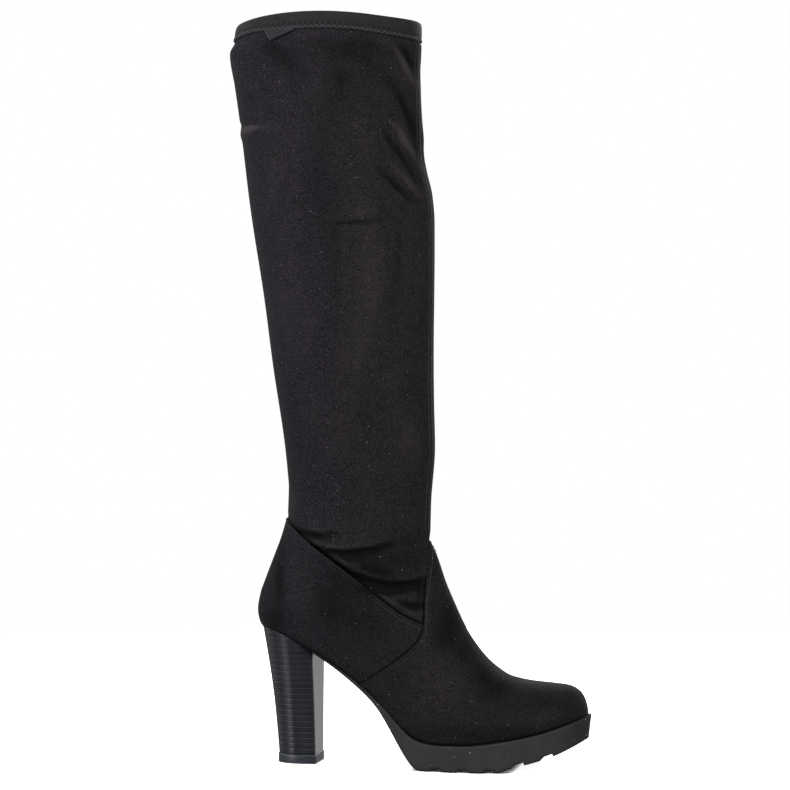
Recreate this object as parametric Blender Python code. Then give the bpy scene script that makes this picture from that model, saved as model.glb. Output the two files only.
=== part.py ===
"""Knee-high suede boot for the right foot, on a stacked block heel and a lugged platform sole.

Sizes are in millimetres: x runs forward from the back of the heel, y to the inner side of the
foot, z up from the floor. MM turns them into Blender's metres.
"""

import math

import bpy
import numpy as np

MM = 0.001
GAP = 0.3                     # left between pieces that touch
ORIGIN_X = 108.2              # middle of the boot's whole length

# Wall thicknesses
SHAFT_WALL = 1.2
QUARTER_WALL = 1.4
VAMP_WALL = 2.3               # the vamp laps over the quarter, a step of 0.9
MARGIN_WALL = 1.4             # edge of the upper turned in under the foot
MARGIN_WIDTH = 10.0
INSOLE_WALL = 2.2
INSOLE_INSET = 1.5
INSOLE_GAP = 0.5              # over the margin, which bends more sharply than the insole

# Shaping of the last and the leg
TUCK = 0.06                   # the upper draws in by this share where it meets the sole
TUCK_HEIGHT = 14.0
ARCH_RISE = 2.2               # roundness of the foot's cross-section
FOOT_TOP = 26.0               # height above the sole where the foot's section starts to fade
LEG_BOTTOM = 88.0             # and where the leg's oval has taken over
OVAL_BACK = 0.10              # the calf side of the oval is this much fuller
RIDGE_SLOPE = 2.6             # the instep's line carried on upward, behind the throat
HEEL_ROUND = (25.0, 75.0)     # between these the plan stops following the bulge of the heel

# Collar and band
COLLAR_END = 516.4            # height of the top line at the front and the back
COLLAR_ARCH = 5.0             # and its rise at the sides
BAND_HEIGHT = 10.4
BAND_WALL = 0.9

# Sole channels across the tread
CHANNEL_FIRST = 134.0
CHANNEL_PITCH = 18.6
CHANNEL_COUNT = 5
CHANNEL_LENGTH = 8.4
CHANNEL_DEPTH = 2.4
CHANNEL_DRAFT = 0.3           # run of each channel wall

# Heel and lift
LIFT_HEIGHT = 6.3
LIFT_PROUD = 0.5
LIFT_BEVEL = 0.4
HEEL_WIDEST = 0.68            # where along its depth the heel is widest
HEEL_SHOULDER = 0.3           # share of its taper to the breast that is done halfway there
HEEL_HOLLOW = 0.12            # share by which its sides curve in between top and bottom

# Mesh steps
HEEL_TURN_COLUMNS = 6         # round the back of the heel
QUARTER_COLUMNS = 12          # those and the straight of the quarter
VAMP_COLUMNS = 19             # the straight of the vamp and those round the toe
TOE_TURN_COLUMNS = 7
HEEL_TURN_SHARE = 0.35        # share of the quarter and of the vamp that goes round an end
TOE_TURN_SHARE = 0.17
HEEL_COLUMNS = 12             # half the outline of the block heel
SEAM_BEVEL = 0.006            # share of the vamp taken by the step's slope
SOLE_STEP = 4.0
SOLE_TOE_START = 203.0        # from here the sole's sections close up round the toe
SOLE_TOE_STEPS = 9
INSTEP_STEPS = 600            # points that stand for the front line where it is looked up
SHARP_ANGLE = math.radians(40)


def table(names, *rows):
    """Columns of a table, by name."""
    return dict(zip(names.split(), np.array(rows, float).T))


# Corners that the outlines of the side view share, as (x, z)
HEEL_POINT = (5.4, 95.4)
SEAM_FOOT = (77.7, 57.2)
TOE_POINT = (230.6, 35.0)
SIDE_POINT = (124.0, 98.5)
BACK_POINT = (22.2, 169.5)
FRONT_POINT = (122.2, 156.0)
THROAT_POINT = (122.3, 151.0)
SIDE_LEVEL = 0.5              # level of the side point, where the quarter ends and the throat starts

# Line where the upper meets the heel seat and the sole
FEATHER = table(
    "x z",
    HEEL_POINT,
    (18.0, 92.6),
    (45.0, 79.2),
    SEAM_FOOT,
    (98.6, 38.8),
    (107.7, 29.8),
    (117.4, 22.3),
    (126.0, 19.6),
    (136.0, 18.6),
    (150.0, 18.6),
    (180.0, 21.9),
    (202.0, 26.0),
    TOE_POINT,
    (238.0, 37.7),
)

# Plan of the last: half-widths to each side of its centre line
PLAN = table(
    "x lateral medial centre",
    (HEEL_POINT[0], 0.0, 0.0, 0.0),
    (13.0, 16.5, 16.5, 0.0),
    (28.0, 25.0, 25.0, 0.0),
    (43.0, 26.5, 26.0, 0.0),
    (68.0, 25.5, 23.5, 0.0),
    (90.0, 27.5, 24.0, 0.0),
    (113.0, 33.5, 30.5, 0.0),
    (138.0, 39.5, 37.5, 0.0),
    (160.0, 41.0, 40.0, 0.0),
    (183.0, 38.5, 39.0, 1.0),
    (203.0, 32.5, 34.0, 3.0),
    (218.0, 24.5, 26.0, 5.0),
    (227.0, 15.0, 16.0, 6.5),
    (TOE_POINT[0], 0.0, 0.0, 7.0),
)

# Front line of the vamp from the toe up the instep, by level of the upper
FRONT = table(
    "level x z",
    (0.00, *TOE_POINT),
    (0.06, 229.5, 42.4),
    (0.12, 227.3, 48.3),
    (0.17, 223.5, 52.3),
    (0.21, 218.7, 54.3),
    (0.27, 207.0, 55.8),
    (0.33, 194.3, 57.1),
    (0.40, 178.8, 60.5),
    (0.45, 167.4, 67.7),
    (0.50, 157.9, 77.0),
    (0.60, 146.3, 94.0),
    (0.71, 138.2, 111.0),
    (0.82, 131.1, 127.7),
    (1.00, *FRONT_POINT),
)

# Edge of the vamp: the seam over the quarter, then the throat over the shaft
VAMP_EDGE = table(
    "level x z",
    (0.00, *SEAM_FOOT),
    (0.10, 87.5, 62.8),
    (0.20, 98.3, 69.7),
    (0.30, 107.5, 76.2),
    (0.40, 115.8, 83.6),
    (0.45, 120.6, 90.0),
    (SIDE_LEVEL, *SIDE_POINT),
    (0.58, 124.4, 105.5),
    (0.70, 123.6, 117.0),
    (0.80, 122.9, 128.0),
    (0.91, 122.6, 141.0),
    (1.00, *THROAT_POINT),
)

# Top edge of the quarter from the back seam to the side point
TOP_LINE = table(
    "along x z",
    (0.00, *BACK_POINT),
    (0.16, 37.5, 159.5),
    (0.46, 69.0, 136.0),
    (0.73, 97.0, 113.8),
    (0.87, 111.0, 104.0),
    (1.00, *SIDE_POINT),
)

# Back and front lines of the leg and its half-width, by height
LEG_BACK = table(
    "z x",
    (HEEL_POINT[1], HEEL_POINT[0]),
    (100.0, 2.9),
    (107.0, 1.8),
    (118.0, 3.6),
    (127.0, 6.8),
    (144.0, 13.4),
    (160.0, 19.5),
    (BACK_POINT[1], BACK_POINT[0]),
    (180.0, 22.8),
    (192.0, 23.0),
    (204.0, 21.9),
    (288.0, 10.2),
    (373.0, -2.1),
    (440.0, -11.5),
    (475.0, -15.9),
    (498.0, -19.1),
    (505.5, -15.8),
    (512.0, -14.4),
    (522.0, -12.8),
)
LEG_FRONT = table(
    "z x",
    (FRONT_POINT[1], FRONT_POINT[0]),
    (163.0, 123.2),
    (184.0, 123.6),
    (219.0, 125.9),
    (254.0, 125.3),
    (324.0, 125.3),
    (380.0, 125.7),
    (397.0, 124.3),
    (422.0, 118.6),
    (443.0, 117.2),
    (481.0, 115.8),
    (500.0, 115.8),
    (508.0, 115.3),
    (522.0, 115.3),
)
LEG_WIDTH = table(
    "z half",
    (40.0, 38.0),
    (95.0, 36.0),
    (130.0, 35.0),
    (160.0, 36.0),
    (185.0, 37.0),
    (205.0, 38.5),
    (250.0, 41.5),
    (330.0, 46.0),
    (420.0, 49.0),
    (500.0, 49.0),
    (522.0, 47.5),
)

# Underside and plan of the sole, from the heel breast to the toe
SOLE = table(
    "x bottom lateral medial centre",
    (43.9, 78.7, 25.0, 24.5, 0.0),
    (58.0, 69.2, 24.5, 23.0, 0.0),
    (71.7, 58.7, 25.0, 22.5, 0.0),
    (80.7, 51.0, 26.0, 22.8, 0.0),
    (89.6, 42.0, 27.8, 24.0, 0.0),
    (98.6, 28.8, 31.0, 27.5, 0.0),
    (108.7, 12.5, 35.4, 32.5, 0.0),
    (114.0, 5.2, 37.5, 34.8, 0.0),
    (118.0, 1.6, 39.0, 36.5, 0.0),
    (123.0, 0.0, 40.4, 38.2, 0.0),
    (138.0, 0.0, 43.2, 41.4, 0.0),
    (160.0, 0.0, 44.6, 43.6, 0.0),
    (173.0, 0.0, 44.0, 43.8, 0.4),
    (187.0, 3.7, 41.3, 42.1, 1.3),
    (203.0, 7.6, 36.4, 37.9, 3.0),
    (217.0, 12.2, 28.9, 30.3, 5.0),
    (226.0, 15.8, 20.9, 21.8, 6.4),
    (231.8, 18.4, 12.6, 13.0, 7.2),
    (235.2, 20.2, 0.0, 0.0, 7.7),
)
# Side of the sole: how far down it, as a share, and how far in from the lip, in millimetres
SOLE_SIDE = table(
    "down inset",
    (0.00, 0.6),
    (0.06, 0.0),
    (0.50, 0.9),
    (0.94, 1.7),
    (1.00, 2.4),
)
SOLE_FULL_SIDE = 16.0         # side height at which those insets apply in full
SOLE_MOST_INSET = 0.4         # share of the half-width that they never pass, at the tip
TOE_RAKE = 1.8                # the toe of the tread stands back from the lip
TOE_RAKE_START = 212.0

# Heel outline above the lift and at the seat
HEEL_LOW = {"back": 15.4, "breast": 43.9, "half": 15.6, "breast_half": 14.6}
HEEL_HIGH = {"back": 4.0, "breast": 43.0, "half": 25.0, "breast_half": 22.0}
HEEL_LEVELS = (0.0, 0.06, 0.2, 0.4, 0.6, 0.8, 1.0)

# Rows of the upper from the sole up: the quarter has those up to the side point
UPPER_LEVELS = np.array(
    [0.0, 0.04, 0.08, 0.12, 0.17, 0.21, 0.27, 0.33, 0.39, 0.45, 0.5, 0.58, 0.66, 0.74, 0.82, 0.91, 1.0]
)
QUARTER_ROWS = 11
# Lap of the shaft inside the upper
LAP_LEVEL = 0.45              # how far down the quarter it goes
LAP_ALONG = 0.18              # how far forward under the vamp
LAP_FRONT = 0.92              # how far down the front line
LAP_THROAT = 0.96             # and down the throat's top corner
LAP_DRAWN_IN = 1.2            # its edge is skived, and lies this far inside the last
FRONT_ALONG = np.array([0.6, 1.0])    # its last columns, under the vamp's top edge

# Rows of the shaft: shares of the way to SHAFT_EVEN_TOP under the collar, then drops below the collar
SHAFT_SHARES = np.array([0.05, 0.12, 0.20, 0.29, 0.38, 0.47, 0.56, 0.64, 0.71, 0.78, 0.86, 0.93, 1.0])
SHAFT_EVEN_TOP = 22.0
SHAFT_DROPS = np.array([16.5, BAND_HEIGHT, GAP + BAND_WALL])


def smooth(known, values, at):
    """Cubic curve through a table's rows that never overshoots them, flat beyond its ends."""
    at = np.clip(at, known[0], known[-1])
    step = np.diff(known)
    slope = np.diff(values) / step
    before, after = slope[:-1], slope[1:]
    tangent = np.concatenate((slope[:1], np.zeros_like(before), slope[-1:]))
    np.divide(2 * before * after, before + after, out=tangent[1:-1], where=before * after > 0)
    i = np.clip(np.searchsorted(known, at, side="right") - 1, 0, len(step) - 1)
    t = (at - known[i]) / step[i]
    start = (2 * t**3 - 3 * t**2 + 1) * values[i] + (t**3 - 2 * t**2 + t) * step[i] * tangent[i]
    end = (3 * t**2 - 2 * t**3) * values[i + 1] + (t**3 - t**2) * step[i] * tangent[i + 1]
    return start + end


def ease(value, low, high):
    """0 below low, 1 above high, with a soft S between."""
    t = np.clip((value - low) / (high - low), 0.0, 1.0)
    return t * t * (3 - 2 * t)


def round_end(rows, column, at):
    """A plan's half-width: smooth in its square, so the ends of the plan are round."""
    return np.sqrt(np.maximum(smooth(rows["x"], rows[column] ** 2, at), 0.0))


def side_curve(rows, key):
    """Curve of a table in the side view, as a function of its first column."""
    def at(t):
        return np.stack((smooth(rows[key], rows["x"], t), smooth(rows[key], rows["z"], t)), axis=-1)
    return at


def feather_z(x):
    """Height of the sole's top."""
    return smooth(FEATHER["x"], FEATHER["z"], x)


def feather_curve(start, end):
    """The feather line between two of its points."""
    def at(t):
        x = start[0] + (end[0] - start[0]) * t
        return np.stack((x, feather_z(x)), axis=-1)
    return at


def back_x(z):
    """Back line of the heel and leg at a height."""
    return smooth(LEG_BACK["z"], LEG_BACK["x"], z)


def back_curve(t):
    """Back line of the upper, from the heel seat to its top edge."""
    z = HEEL_POINT[1] + (BACK_POINT[1] - HEEL_POINT[1]) * t
    return np.stack((back_x(z), z), axis=-1)


front_curve = side_curve(FRONT, "level")
vamp_edge = side_curve(VAMP_EDGE, "level")
top_curve = side_curve(TOP_LINE, "along")

INSTEP = front_curve(np.linspace(0.0, 1.0, INSTEP_STEPS))


def front_x(z):
    """Front line of the foot and leg at a height."""
    instep = np.interp(z, INSTEP[:, 1], INSTEP[:, 0])
    return np.where(z > FRONT_POINT[1], smooth(LEG_FRONT["z"], LEG_FRONT["x"], z), instep)


def ridge_z(x):
    """Height of the instep's ridge over a point of the foot."""
    behind = np.maximum(FRONT_POINT[0] - x, 0.0) * RIDGE_SLOPE
    return np.interp(x, INSTEP[::-1, 0], INSTEP[::-1, 1]) + behind


def half_width(x, z, side):
    """From the centre line to one side of the last, at a point of the side view."""
    height = z - feather_z(x)
    back, front = back_x(z), front_x(z)
    heel_share = 1 - ease(x, *HEEL_ROUND)
    plan = round_end(PLAN, side, x - (back - HEEL_POINT[0]) * heel_share)
    rise = np.clip(height / np.maximum(ridge_z(x) - feather_z(x), 1.0), 0.0, 1.0)
    tuck = 1 - TUCK * np.clip(1 - height / TUCK_HEIGHT, 0.0, 1.0) ** 2
    foot = plan * np.sqrt(1 - rise**ARCH_RISE) * tuck
    along = np.clip((x - back) / (front - back), 0.0, 1.0)
    oval = 2 * np.sqrt(along * (1 - along)) * (1 + OVAL_BACK * (1 - 2 * along))
    leg = smooth(LEG_WIDTH["z"], LEG_WIDTH["half"], z) * oval
    share = ease(height, FOOT_TOP, LEG_BOTTOM)
    return foot * (1 - share) + leg * share


def patch(bottom, top, left, right, u, v):
    """Points between four edge curves of the side view: a row for each v, a column for each u."""
    across, up = u[None, :, None], v[:, None, None]
    ends = np.array([0.0, 1.0])
    low, high = bottom(ends), top(ends)
    edges = (1 - up) * bottom(u) + up * top(u)
    edges = edges + (1 - across) * left(v)[:, None] + across * right(v)[:, None]
    corners_low = (1 - across) * low[0] + across * low[1]
    corners_high = (1 - across) * high[0] + across * high[1]
    return edges - (1 - up) * corners_low - up * corners_high


def seam_curve(t):
    """The part of the vamp's edge that lies over the quarter."""
    return vamp_edge(t * SIDE_LEVEL)


def throat_top(t):
    """Top edge of the vamp across the shin."""
    return np.outer(1 - t, THROAT_POINT) + np.outer(t, FRONT_POINT)


def quarter_points(levels, along):
    """Side view of the quarter: rows by level, columns from the back line to the seam."""
    feather = feather_curve(HEEL_POINT, SEAM_FOOT)
    return patch(feather, top_curve, back_curve, seam_curve, along, levels / SIDE_LEVEL)


def vamp_points(levels, along):
    """Side view of the vamp: rows by level, columns from its edge to the front line."""
    feather = feather_curve(SEAM_FOOT, TOE_POINT)
    return patch(feather, throat_top, vamp_edge, front_curve, along, levels)


def quarter_columns():
    """Places along the quarter, closer round the heel."""
    turn = 1 - np.cos(np.linspace(0.0, math.pi / 2, HEEL_TURN_COLUMNS + 1))
    run = np.linspace(HEEL_TURN_SHARE, 1.0, QUARTER_COLUMNS - HEEL_TURN_COLUMNS + 1)
    return np.concatenate((HEEL_TURN_SHARE * turn, run[1:]))


def vamp_columns():
    """Places along the vamp, from the foot of the seam's step, closer round the toe."""
    turn = np.sin(np.linspace(0.0, math.pi / 2, TOE_TURN_COLUMNS + 1))
    start = 1 - TOE_TURN_SHARE
    run = np.linspace(0.0, start, VAMP_COLUMNS - TOE_TURN_COLUMNS + 1)
    return np.concatenate(([SEAM_BEVEL], run[1:], start + TOE_TURN_SHARE * turn[1:]))


def both_sides(points):
    """Side-view points lifted to the lateral and the medial side of the last."""
    x, z = points[..., 0], points[..., 1]
    centre = smooth(PLAN["x"], PLAN["centre"], x)
    lateral = np.stack((x, centre - half_width(x, z, "lateral"), z), axis=-1)
    medial = np.stack((x, centre + half_width(x, z, "medial"), z), axis=-1)
    return lateral, medial


def rings_of(points):
    """Closed rings: lateral side from back to front, medial side home again."""
    lateral, medial = both_sides(points)
    return np.concatenate((lateral, medial[:, -2:0:-1]), axis=1)


def outward(grid, closed):
    """Unit normals of a grid whose rows run round the foot, closed or open."""
    if closed:
        around = np.roll(grid, -1, axis=1) - np.roll(grid, 1, axis=1)
    else:
        around = np.gradient(grid, axis=1)
    normal = np.cross(around, np.gradient(grid, axis=0))
    return normal / np.linalg.norm(normal, axis=-1, keepdims=True)


def drawn_in(ring, width):
    """A ring moved inward by a width, in plan."""
    around = np.roll(ring, -1, axis=0) - np.roll(ring, 1, axis=0)
    out = np.stack((around[:, 1], -around[:, 0], np.zeros(len(ring))), axis=-1)
    return ring - width * out / np.linalg.norm(out, axis=-1, keepdims=True)


def on_sole(ring, above):
    """A ring laid on the sole's top, at a height above it."""
    laid = ring.copy()
    laid[:, 2] = feather_z(laid[:, 0]) + above
    return laid


def grid_quads(index, closed):
    """Quads of a grid of point numbers, joined round where its rows are closed."""
    if closed:
        index = np.column_stack((index, index[:, 0]))
    corners = index[:-1, :-1], index[:-1, 1:], index[1:, 1:], index[1:, :-1]
    return np.stack(corners, axis=-1).reshape(-1, 4).tolist()


def quad_pair(points, a, b, c, d):
    """Two triangles for a quad, split along its shorter diagonal."""
    if np.linalg.norm(points[a] - points[c]) <= np.linalg.norm(points[b] - points[d]):
        return [(a, b, c), (a, c, d)]
    return [(a, b, d), (b, c, d)]


def add_piece(name, points, faces, look):
    """One named piece of the boot, smooth but for its sharp edges."""
    mesh = bpy.data.meshes.new(name)
    mesh.from_pydata((points * MM).tolist(), [], faces)
    mesh.shade_smooth()
    mesh.set_sharp_from_angle(angle=SHARP_ANGLE)
    mesh.materials.append(look)
    piece = bpy.data.objects.new(name, mesh)
    piece.parent = boot
    bpy.context.collection.objects.link(piece)


def add_loft(name, rings, look):
    """Solid through rings of equal length, with end caps that join the two halves of the end rings."""
    rings = np.asarray(rings)
    rows, columns = rings.shape[:2]
    points = rings.reshape(-1, 3)
    faces = []
    for a, b, c, d in grid_quads(np.arange(rows * columns).reshape(rows, columns), closed=True):
        faces += quad_pair(points, a, b, c, d)
    half = columns // 2
    for first, turned in ((0, True), ((rows - 1) * columns, False)):
        last = first + columns
        cap = [(first, first + 1, last - 1), (first + half - 1, first + half, first + half + 1)]
        for i in range(1, half - 1):
            cap += quad_pair(points, first + i, first + i + 1, last - i - 1, last - i)
        faces += [face[::-1] for face in cap] if turned else cap
    add_piece(name, points, faces, look)


def add_wall(name, outer, inner, quads, look):
    """Solid between an outer and an inner sheet of the same layout, with a rim along its open edges."""
    count = len(outer)
    points = np.concatenate((outer, inner))
    edges = {edge for a, b, c, d in quads for edge in ((a, b), (b, c), (c, d), (d, a))}
    faces = []
    for a, b, c, d in quads:
        faces += quad_pair(points, a, b, c, d)
        faces += quad_pair(points, d + count, c + count, b + count, a + count)
    for a, b in sorted(edges):
        if (b, a) not in edges:
            faces += quad_pair(points, b, a, a + count, b + count)
    add_piece(name, points, faces, look)


def add_look(name, colour, roughness):
    """Plain material of one colour."""
    look = bpy.data.materials.new(name)
    look.use_nodes = True
    shader = look.node_tree.nodes["Principled BSDF"]
    shader.inputs["Base Color"].default_value = (*colour, 1.0)
    shader.inputs["Roughness"].default_value = roughness
    return look


def walled(grid, wall):
    """Outer and inner sheets of a part of the upper that stands on the sole."""
    normal = outward(grid, closed=False)
    outer, inner = grid + normal * (GAP + wall), grid + normal * GAP
    outer[0] = on_sole(outer[0], GAP)
    inner[0] = on_sole(inner[0], GAP + MARGIN_WALL)
    return outer, inner


def add_upper(look):
    """Hollow upper, open at its top edge and underneath, where its margin turns in over the sole."""
    side, medial = both_sides(quarter_points(UPPER_LEVELS[:QUARTER_ROWS], quarter_columns()))
    quarter = np.concatenate((medial[:, :0:-1], side), axis=1)
    side, medial = both_sides(vamp_points(UPPER_LEVELS, vamp_columns()))
    vamp = np.concatenate((side, medial[:, -2::-1]), axis=1)
    split = quarter.shape[1]
    edge = drawn_in(np.concatenate((quarter[0], vamp[0])), MARGIN_WIDTH)
    layers = zip((GAP, GAP + MARGIN_WALL), walled(quarter, QUARTER_WALL), walled(vamp, VAMP_WALL))
    sheets = []
    for above_sole, quarter_layer, vamp_layer in layers:
        margin = on_sole(edge, above_sole)
        quarter_layer = np.concatenate((margin[:split], quarter_layer.reshape(-1, 3)))
        vamp_layer = np.concatenate((margin[split:], vamp_layer.reshape(-1, 3)))
        sheets.append(np.concatenate((quarter_layer, vamp_layer)))
    in_quarter = (QUARTER_ROWS + 1) * split
    quarter_index = np.arange(in_quarter).reshape(-1, split)
    vamp_index = np.arange(in_quarter, len(sheets[0])).reshape(-1, vamp.shape[1])
    quads = grid_quads(quarter_index, closed=False) + grid_quads(vamp_index, closed=False)
    seamed = vamp_index[: QUARTER_ROWS + 1]
    quads += grid_quads(np.column_stack((quarter_index[:, -1], seamed[:, 0])), closed=False)
    quads += grid_quads(np.column_stack((seamed[:, -1], quarter_index[:, 0])), closed=False)
    add_wall("upper", *sheets, quads, look)


def shaft_points():
    """Side view of the shaft, from the lap inside the upper to the collar."""
    side = np.array([SIDE_LEVEL])
    throat_levels = UPPER_LEVELS[QUARTER_ROWS:]
    quarter_edge = quarter_points(side, quarter_columns())[0]
    front_edge = vamp_points(np.array([1.0]), FRONT_ALONG)[0]
    edge = np.concatenate((quarter_edge, vamp_edge(throat_levels), front_edge))
    quarter_lap = quarter_points(np.array([LAP_LEVEL]), quarter_columns()[:-1])[0]
    side_levels = np.array([LAP_LEVEL, *throat_levels[:-1], LAP_THROAT])
    side_lap = vamp_points(side_levels, np.array([LAP_ALONG]))[:, 0]
    front_lap = vamp_points(np.array([LAP_FRONT]), FRONT_ALONG)[0]
    lap = np.concatenate((quarter_lap, side_lap, front_lap))
    x, z = edge[:, 0], edge[:, 1]
    along = (x - back_x(z)) / (front_x(z) - back_x(z))
    turn = np.linspace(0.0, math.pi, len(x))
    collar_along = (1 - np.cos(turn)) / 2
    collar_z = COLLAR_END + COLLAR_ARCH * np.sin(turn) ** 2
    even_top = collar_z - SHAFT_EVEN_TOP
    heights = [z + share * (even_top - z) for share in SHAFT_SHARES]
    heights += [collar_z - drop for drop in SHAFT_DROPS]
    rows = [lap, edge]
    for height in heights:
        share = (height - z) / (collar_z - z)
        part = along + (collar_along - along) * share
        back = back_x(height)
        rows.append(np.stack((back + part * (front_x(height) - back), height), axis=-1))
    return np.array(rows)


def shaft_form():
    """Rings of the shaft's outside and their normals."""
    rings = rings_of(shaft_points())
    normal = outward(rings, closed=True)
    rings[0] -= LAP_DRAWN_IN * normal[0]
    return rings, normal


def add_shaft(look):
    """Stretch tube of the leg."""
    outer, normal = shaft_form()
    inner = outer - SHAFT_WALL * normal
    index = np.arange(outer[..., 0].size).reshape(outer.shape[:2])
    add_wall("shaft", outer.reshape(-1, 3), inner.reshape(-1, 3), grid_quads(index, closed=True), look)


def add_band(look):
    """Elastic band folded over the top edge of the shaft."""
    rings, normal = shaft_form()
    foot, head = rings[-2:]
    foot_out, head_out = normal[-2:]
    rise = np.array([0.0, 0.0, 1.0])
    sheets = []
    for clear in (GAP + BAND_WALL, GAP):
        within = SHAFT_WALL + clear
        sheets.append(
            np.concatenate((
                foot + clear * foot_out,
                head + clear * (head_out + rise),
                head - within * head_out + clear * rise,
                foot - within * foot_out,
            ))
        )
    index = np.arange(len(sheets[0])).reshape(4, -1)
    add_wall("top_band", *sheets, grid_quads(index, closed=True), look)


def insole_rings():
    """Board inside the upper, on its turned-in margin."""
    heel = quarter_points(UPPER_LEVELS[:1], quarter_columns())
    toe = vamp_points(UPPER_LEVELS[:1], vamp_columns())
    outline = drawn_in(rings_of(np.concatenate((heel, toe), axis=1))[0], INSOLE_INSET)
    bottom = GAP + MARGIN_WALL + INSOLE_GAP
    return [on_sole(outline, bottom), on_sole(outline, bottom + INSOLE_WALL)]


def channel_depth(x):
    """How far the tread is cut away at a place along the sole."""
    centres = CHANNEL_FIRST + CHANNEL_PITCH * np.arange(CHANNEL_COUNT)
    away = np.min(np.abs(x - centres))
    return CHANNEL_DEPTH * np.clip((CHANNEL_LENGTH / 2 - away) / CHANNEL_DRAFT, 0.0, 1.0)


def sole_stations():
    """Places along the sole: even steps, closer round the toe, and both edges of each channel wall."""
    start, tip = SOLE["x"][0], SOLE["x"][-1]
    straight = SOLE_TOE_START - start
    even = np.linspace(start, SOLE_TOE_START, round(straight / SOLE_STEP) + 1)
    turn = np.linspace(0.0, math.pi / 2, SOLE_TOE_STEPS + 1)[1:-1]
    rounded = SOLE_TOE_START + (tip - SOLE_TOE_START) * np.sin(turn)
    edges = []
    for number in range(CHANNEL_COUNT):
        centre = CHANNEL_FIRST + CHANNEL_PITCH * number
        for reach in (CHANNEL_LENGTH / 2, CHANNEL_LENGTH / 2 - CHANNEL_DRAFT):
            edges += [centre - reach, centre + reach]
    return np.unique(np.concatenate((even, rounded, edges)))


def outsole_rings():
    """Sections across the sole: top middle, down the lateral side, and up the medial side."""
    sections = []
    for x in sole_stations():
        top = feather_z(x)
        bottom = smooth(SOLE["x"], SOLE["bottom"], x) + channel_depth(x)
        centre = smooth(SOLE["x"], SOLE["centre"], x)
        lateral, medial = round_end(SOLE, "lateral", x), round_end(SOLE, "medial", x)
        inset = SOLE_SIDE["inset"] * min((top - bottom) / SOLE_FULL_SIDE, 1.0)
        inset = np.minimum(inset, SOLE_MOST_INSET * min(lateral, medial))
        z = top + (bottom - top) * SOLE_SIDE["down"]
        rake = TOE_RAKE * ease(x, TOE_RAKE_START, SOLE["x"][-1]) * SOLE_SIDE["down"]
        side_x = x - rake
        outer_side = np.stack((side_x, centre - lateral + inset, z), axis=-1)
        inner_side = np.stack((side_x, centre + medial - inset, z), axis=-1)
        above = (x, centre, top)
        below = (side_x[-1], centre, bottom)
        sections.append([above, *outer_side, below, *inner_side[::-1]])
    return sections


def heel_outline(back, breast, half, breast_half):
    """D-shaped outline: round at the back, widest towards the flat breast."""
    turn = np.linspace(0.0, math.pi / 2, HEEL_COLUMNS - 2)
    round_share = HEEL_WIDEST * (1 - np.cos(turn))
    round_half = half * np.sin(turn)
    share = np.concatenate((round_share, [(1 + HEEL_WIDEST) / 2, 1.0, 1.0]))
    taper = half - (half - breast_half) * HEEL_SHOULDER
    width = np.concatenate((round_half, [taper, breast_half, 0.0]))
    x = back + (breast - back) * share
    lateral = np.stack((x, -width), axis=-1)
    medial = np.stack((x, width), axis=-1)
    return np.concatenate((lateral, medial[-2:0:-1]))


def heel_rings():
    """Stacked heel from the lift up to the slanted seat."""
    low, high = heel_outline(**HEEL_LOW), heel_outline(**HEEL_HIGH)
    floor = LIFT_HEIGHT + GAP
    seat = feather_z(high[:, 0]) - GAP
    rings = []
    for level in HEEL_LEVELS:
        share = level - HEEL_HOLLOW * math.sin(math.pi * level)
        plan = low + (high - low) * share
        z = floor + (seat - floor) * level
        rings.append(np.column_stack((plan, z)))
    return rings


def lift_rings():
    """Rubber top lift, a little larger than the heel, with a bevelled tread edge."""
    rings = []
    for proud, z in ((LIFT_PROUD - LIFT_BEVEL, 0.0), (LIFT_PROUD, LIFT_BEVEL), (LIFT_PROUD, LIFT_HEIGHT)):
        grown = {name: size + (-proud if name == "back" else proud) for name, size in HEEL_LOW.items()}
        plan = heel_outline(**grown)
        rings.append(np.column_stack((plan, np.full(len(plan), z))))
    return rings


for old in list(bpy.data.objects):
    bpy.data.objects.remove(old)

boot = bpy.data.objects.new("boot", None)
boot.location = (-ORIGIN_X * MM, 0.0, 0.0)
bpy.context.collection.objects.link(boot)

suede = add_look("suede", (0.017, 0.015, 0.018), 0.95)
band = add_look("band", (0.040, 0.038, 0.042), 0.85)
sole_rubber = add_look("sole_rubber", (0.030, 0.034, 0.037), 0.70)
heel_stack = add_look("heel_stack", (0.020, 0.022, 0.025), 0.42)
lift_rubber = add_look("lift_rubber", (0.032, 0.040, 0.048), 0.60)
sock = add_look("insole_sock", (0.020, 0.019, 0.019), 0.90)

add_loft("outsole", outsole_rings(), sole_rubber)
add_loft("heel", heel_rings(), heel_stack)
add_loft("top_lift", lift_rings(), lift_rubber)
add_loft("insole", insole_rings(), sock)
add_upper(suede)
add_shaft(suede)
add_band(band)
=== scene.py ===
"""Looks of a knee-high suede boot for the right foot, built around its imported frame.

Sizes are in millimetres in the boot's own frame: x forward from the back of the heel, y to the inner
side of the foot, z up from the floor.
"""

import math

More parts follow.
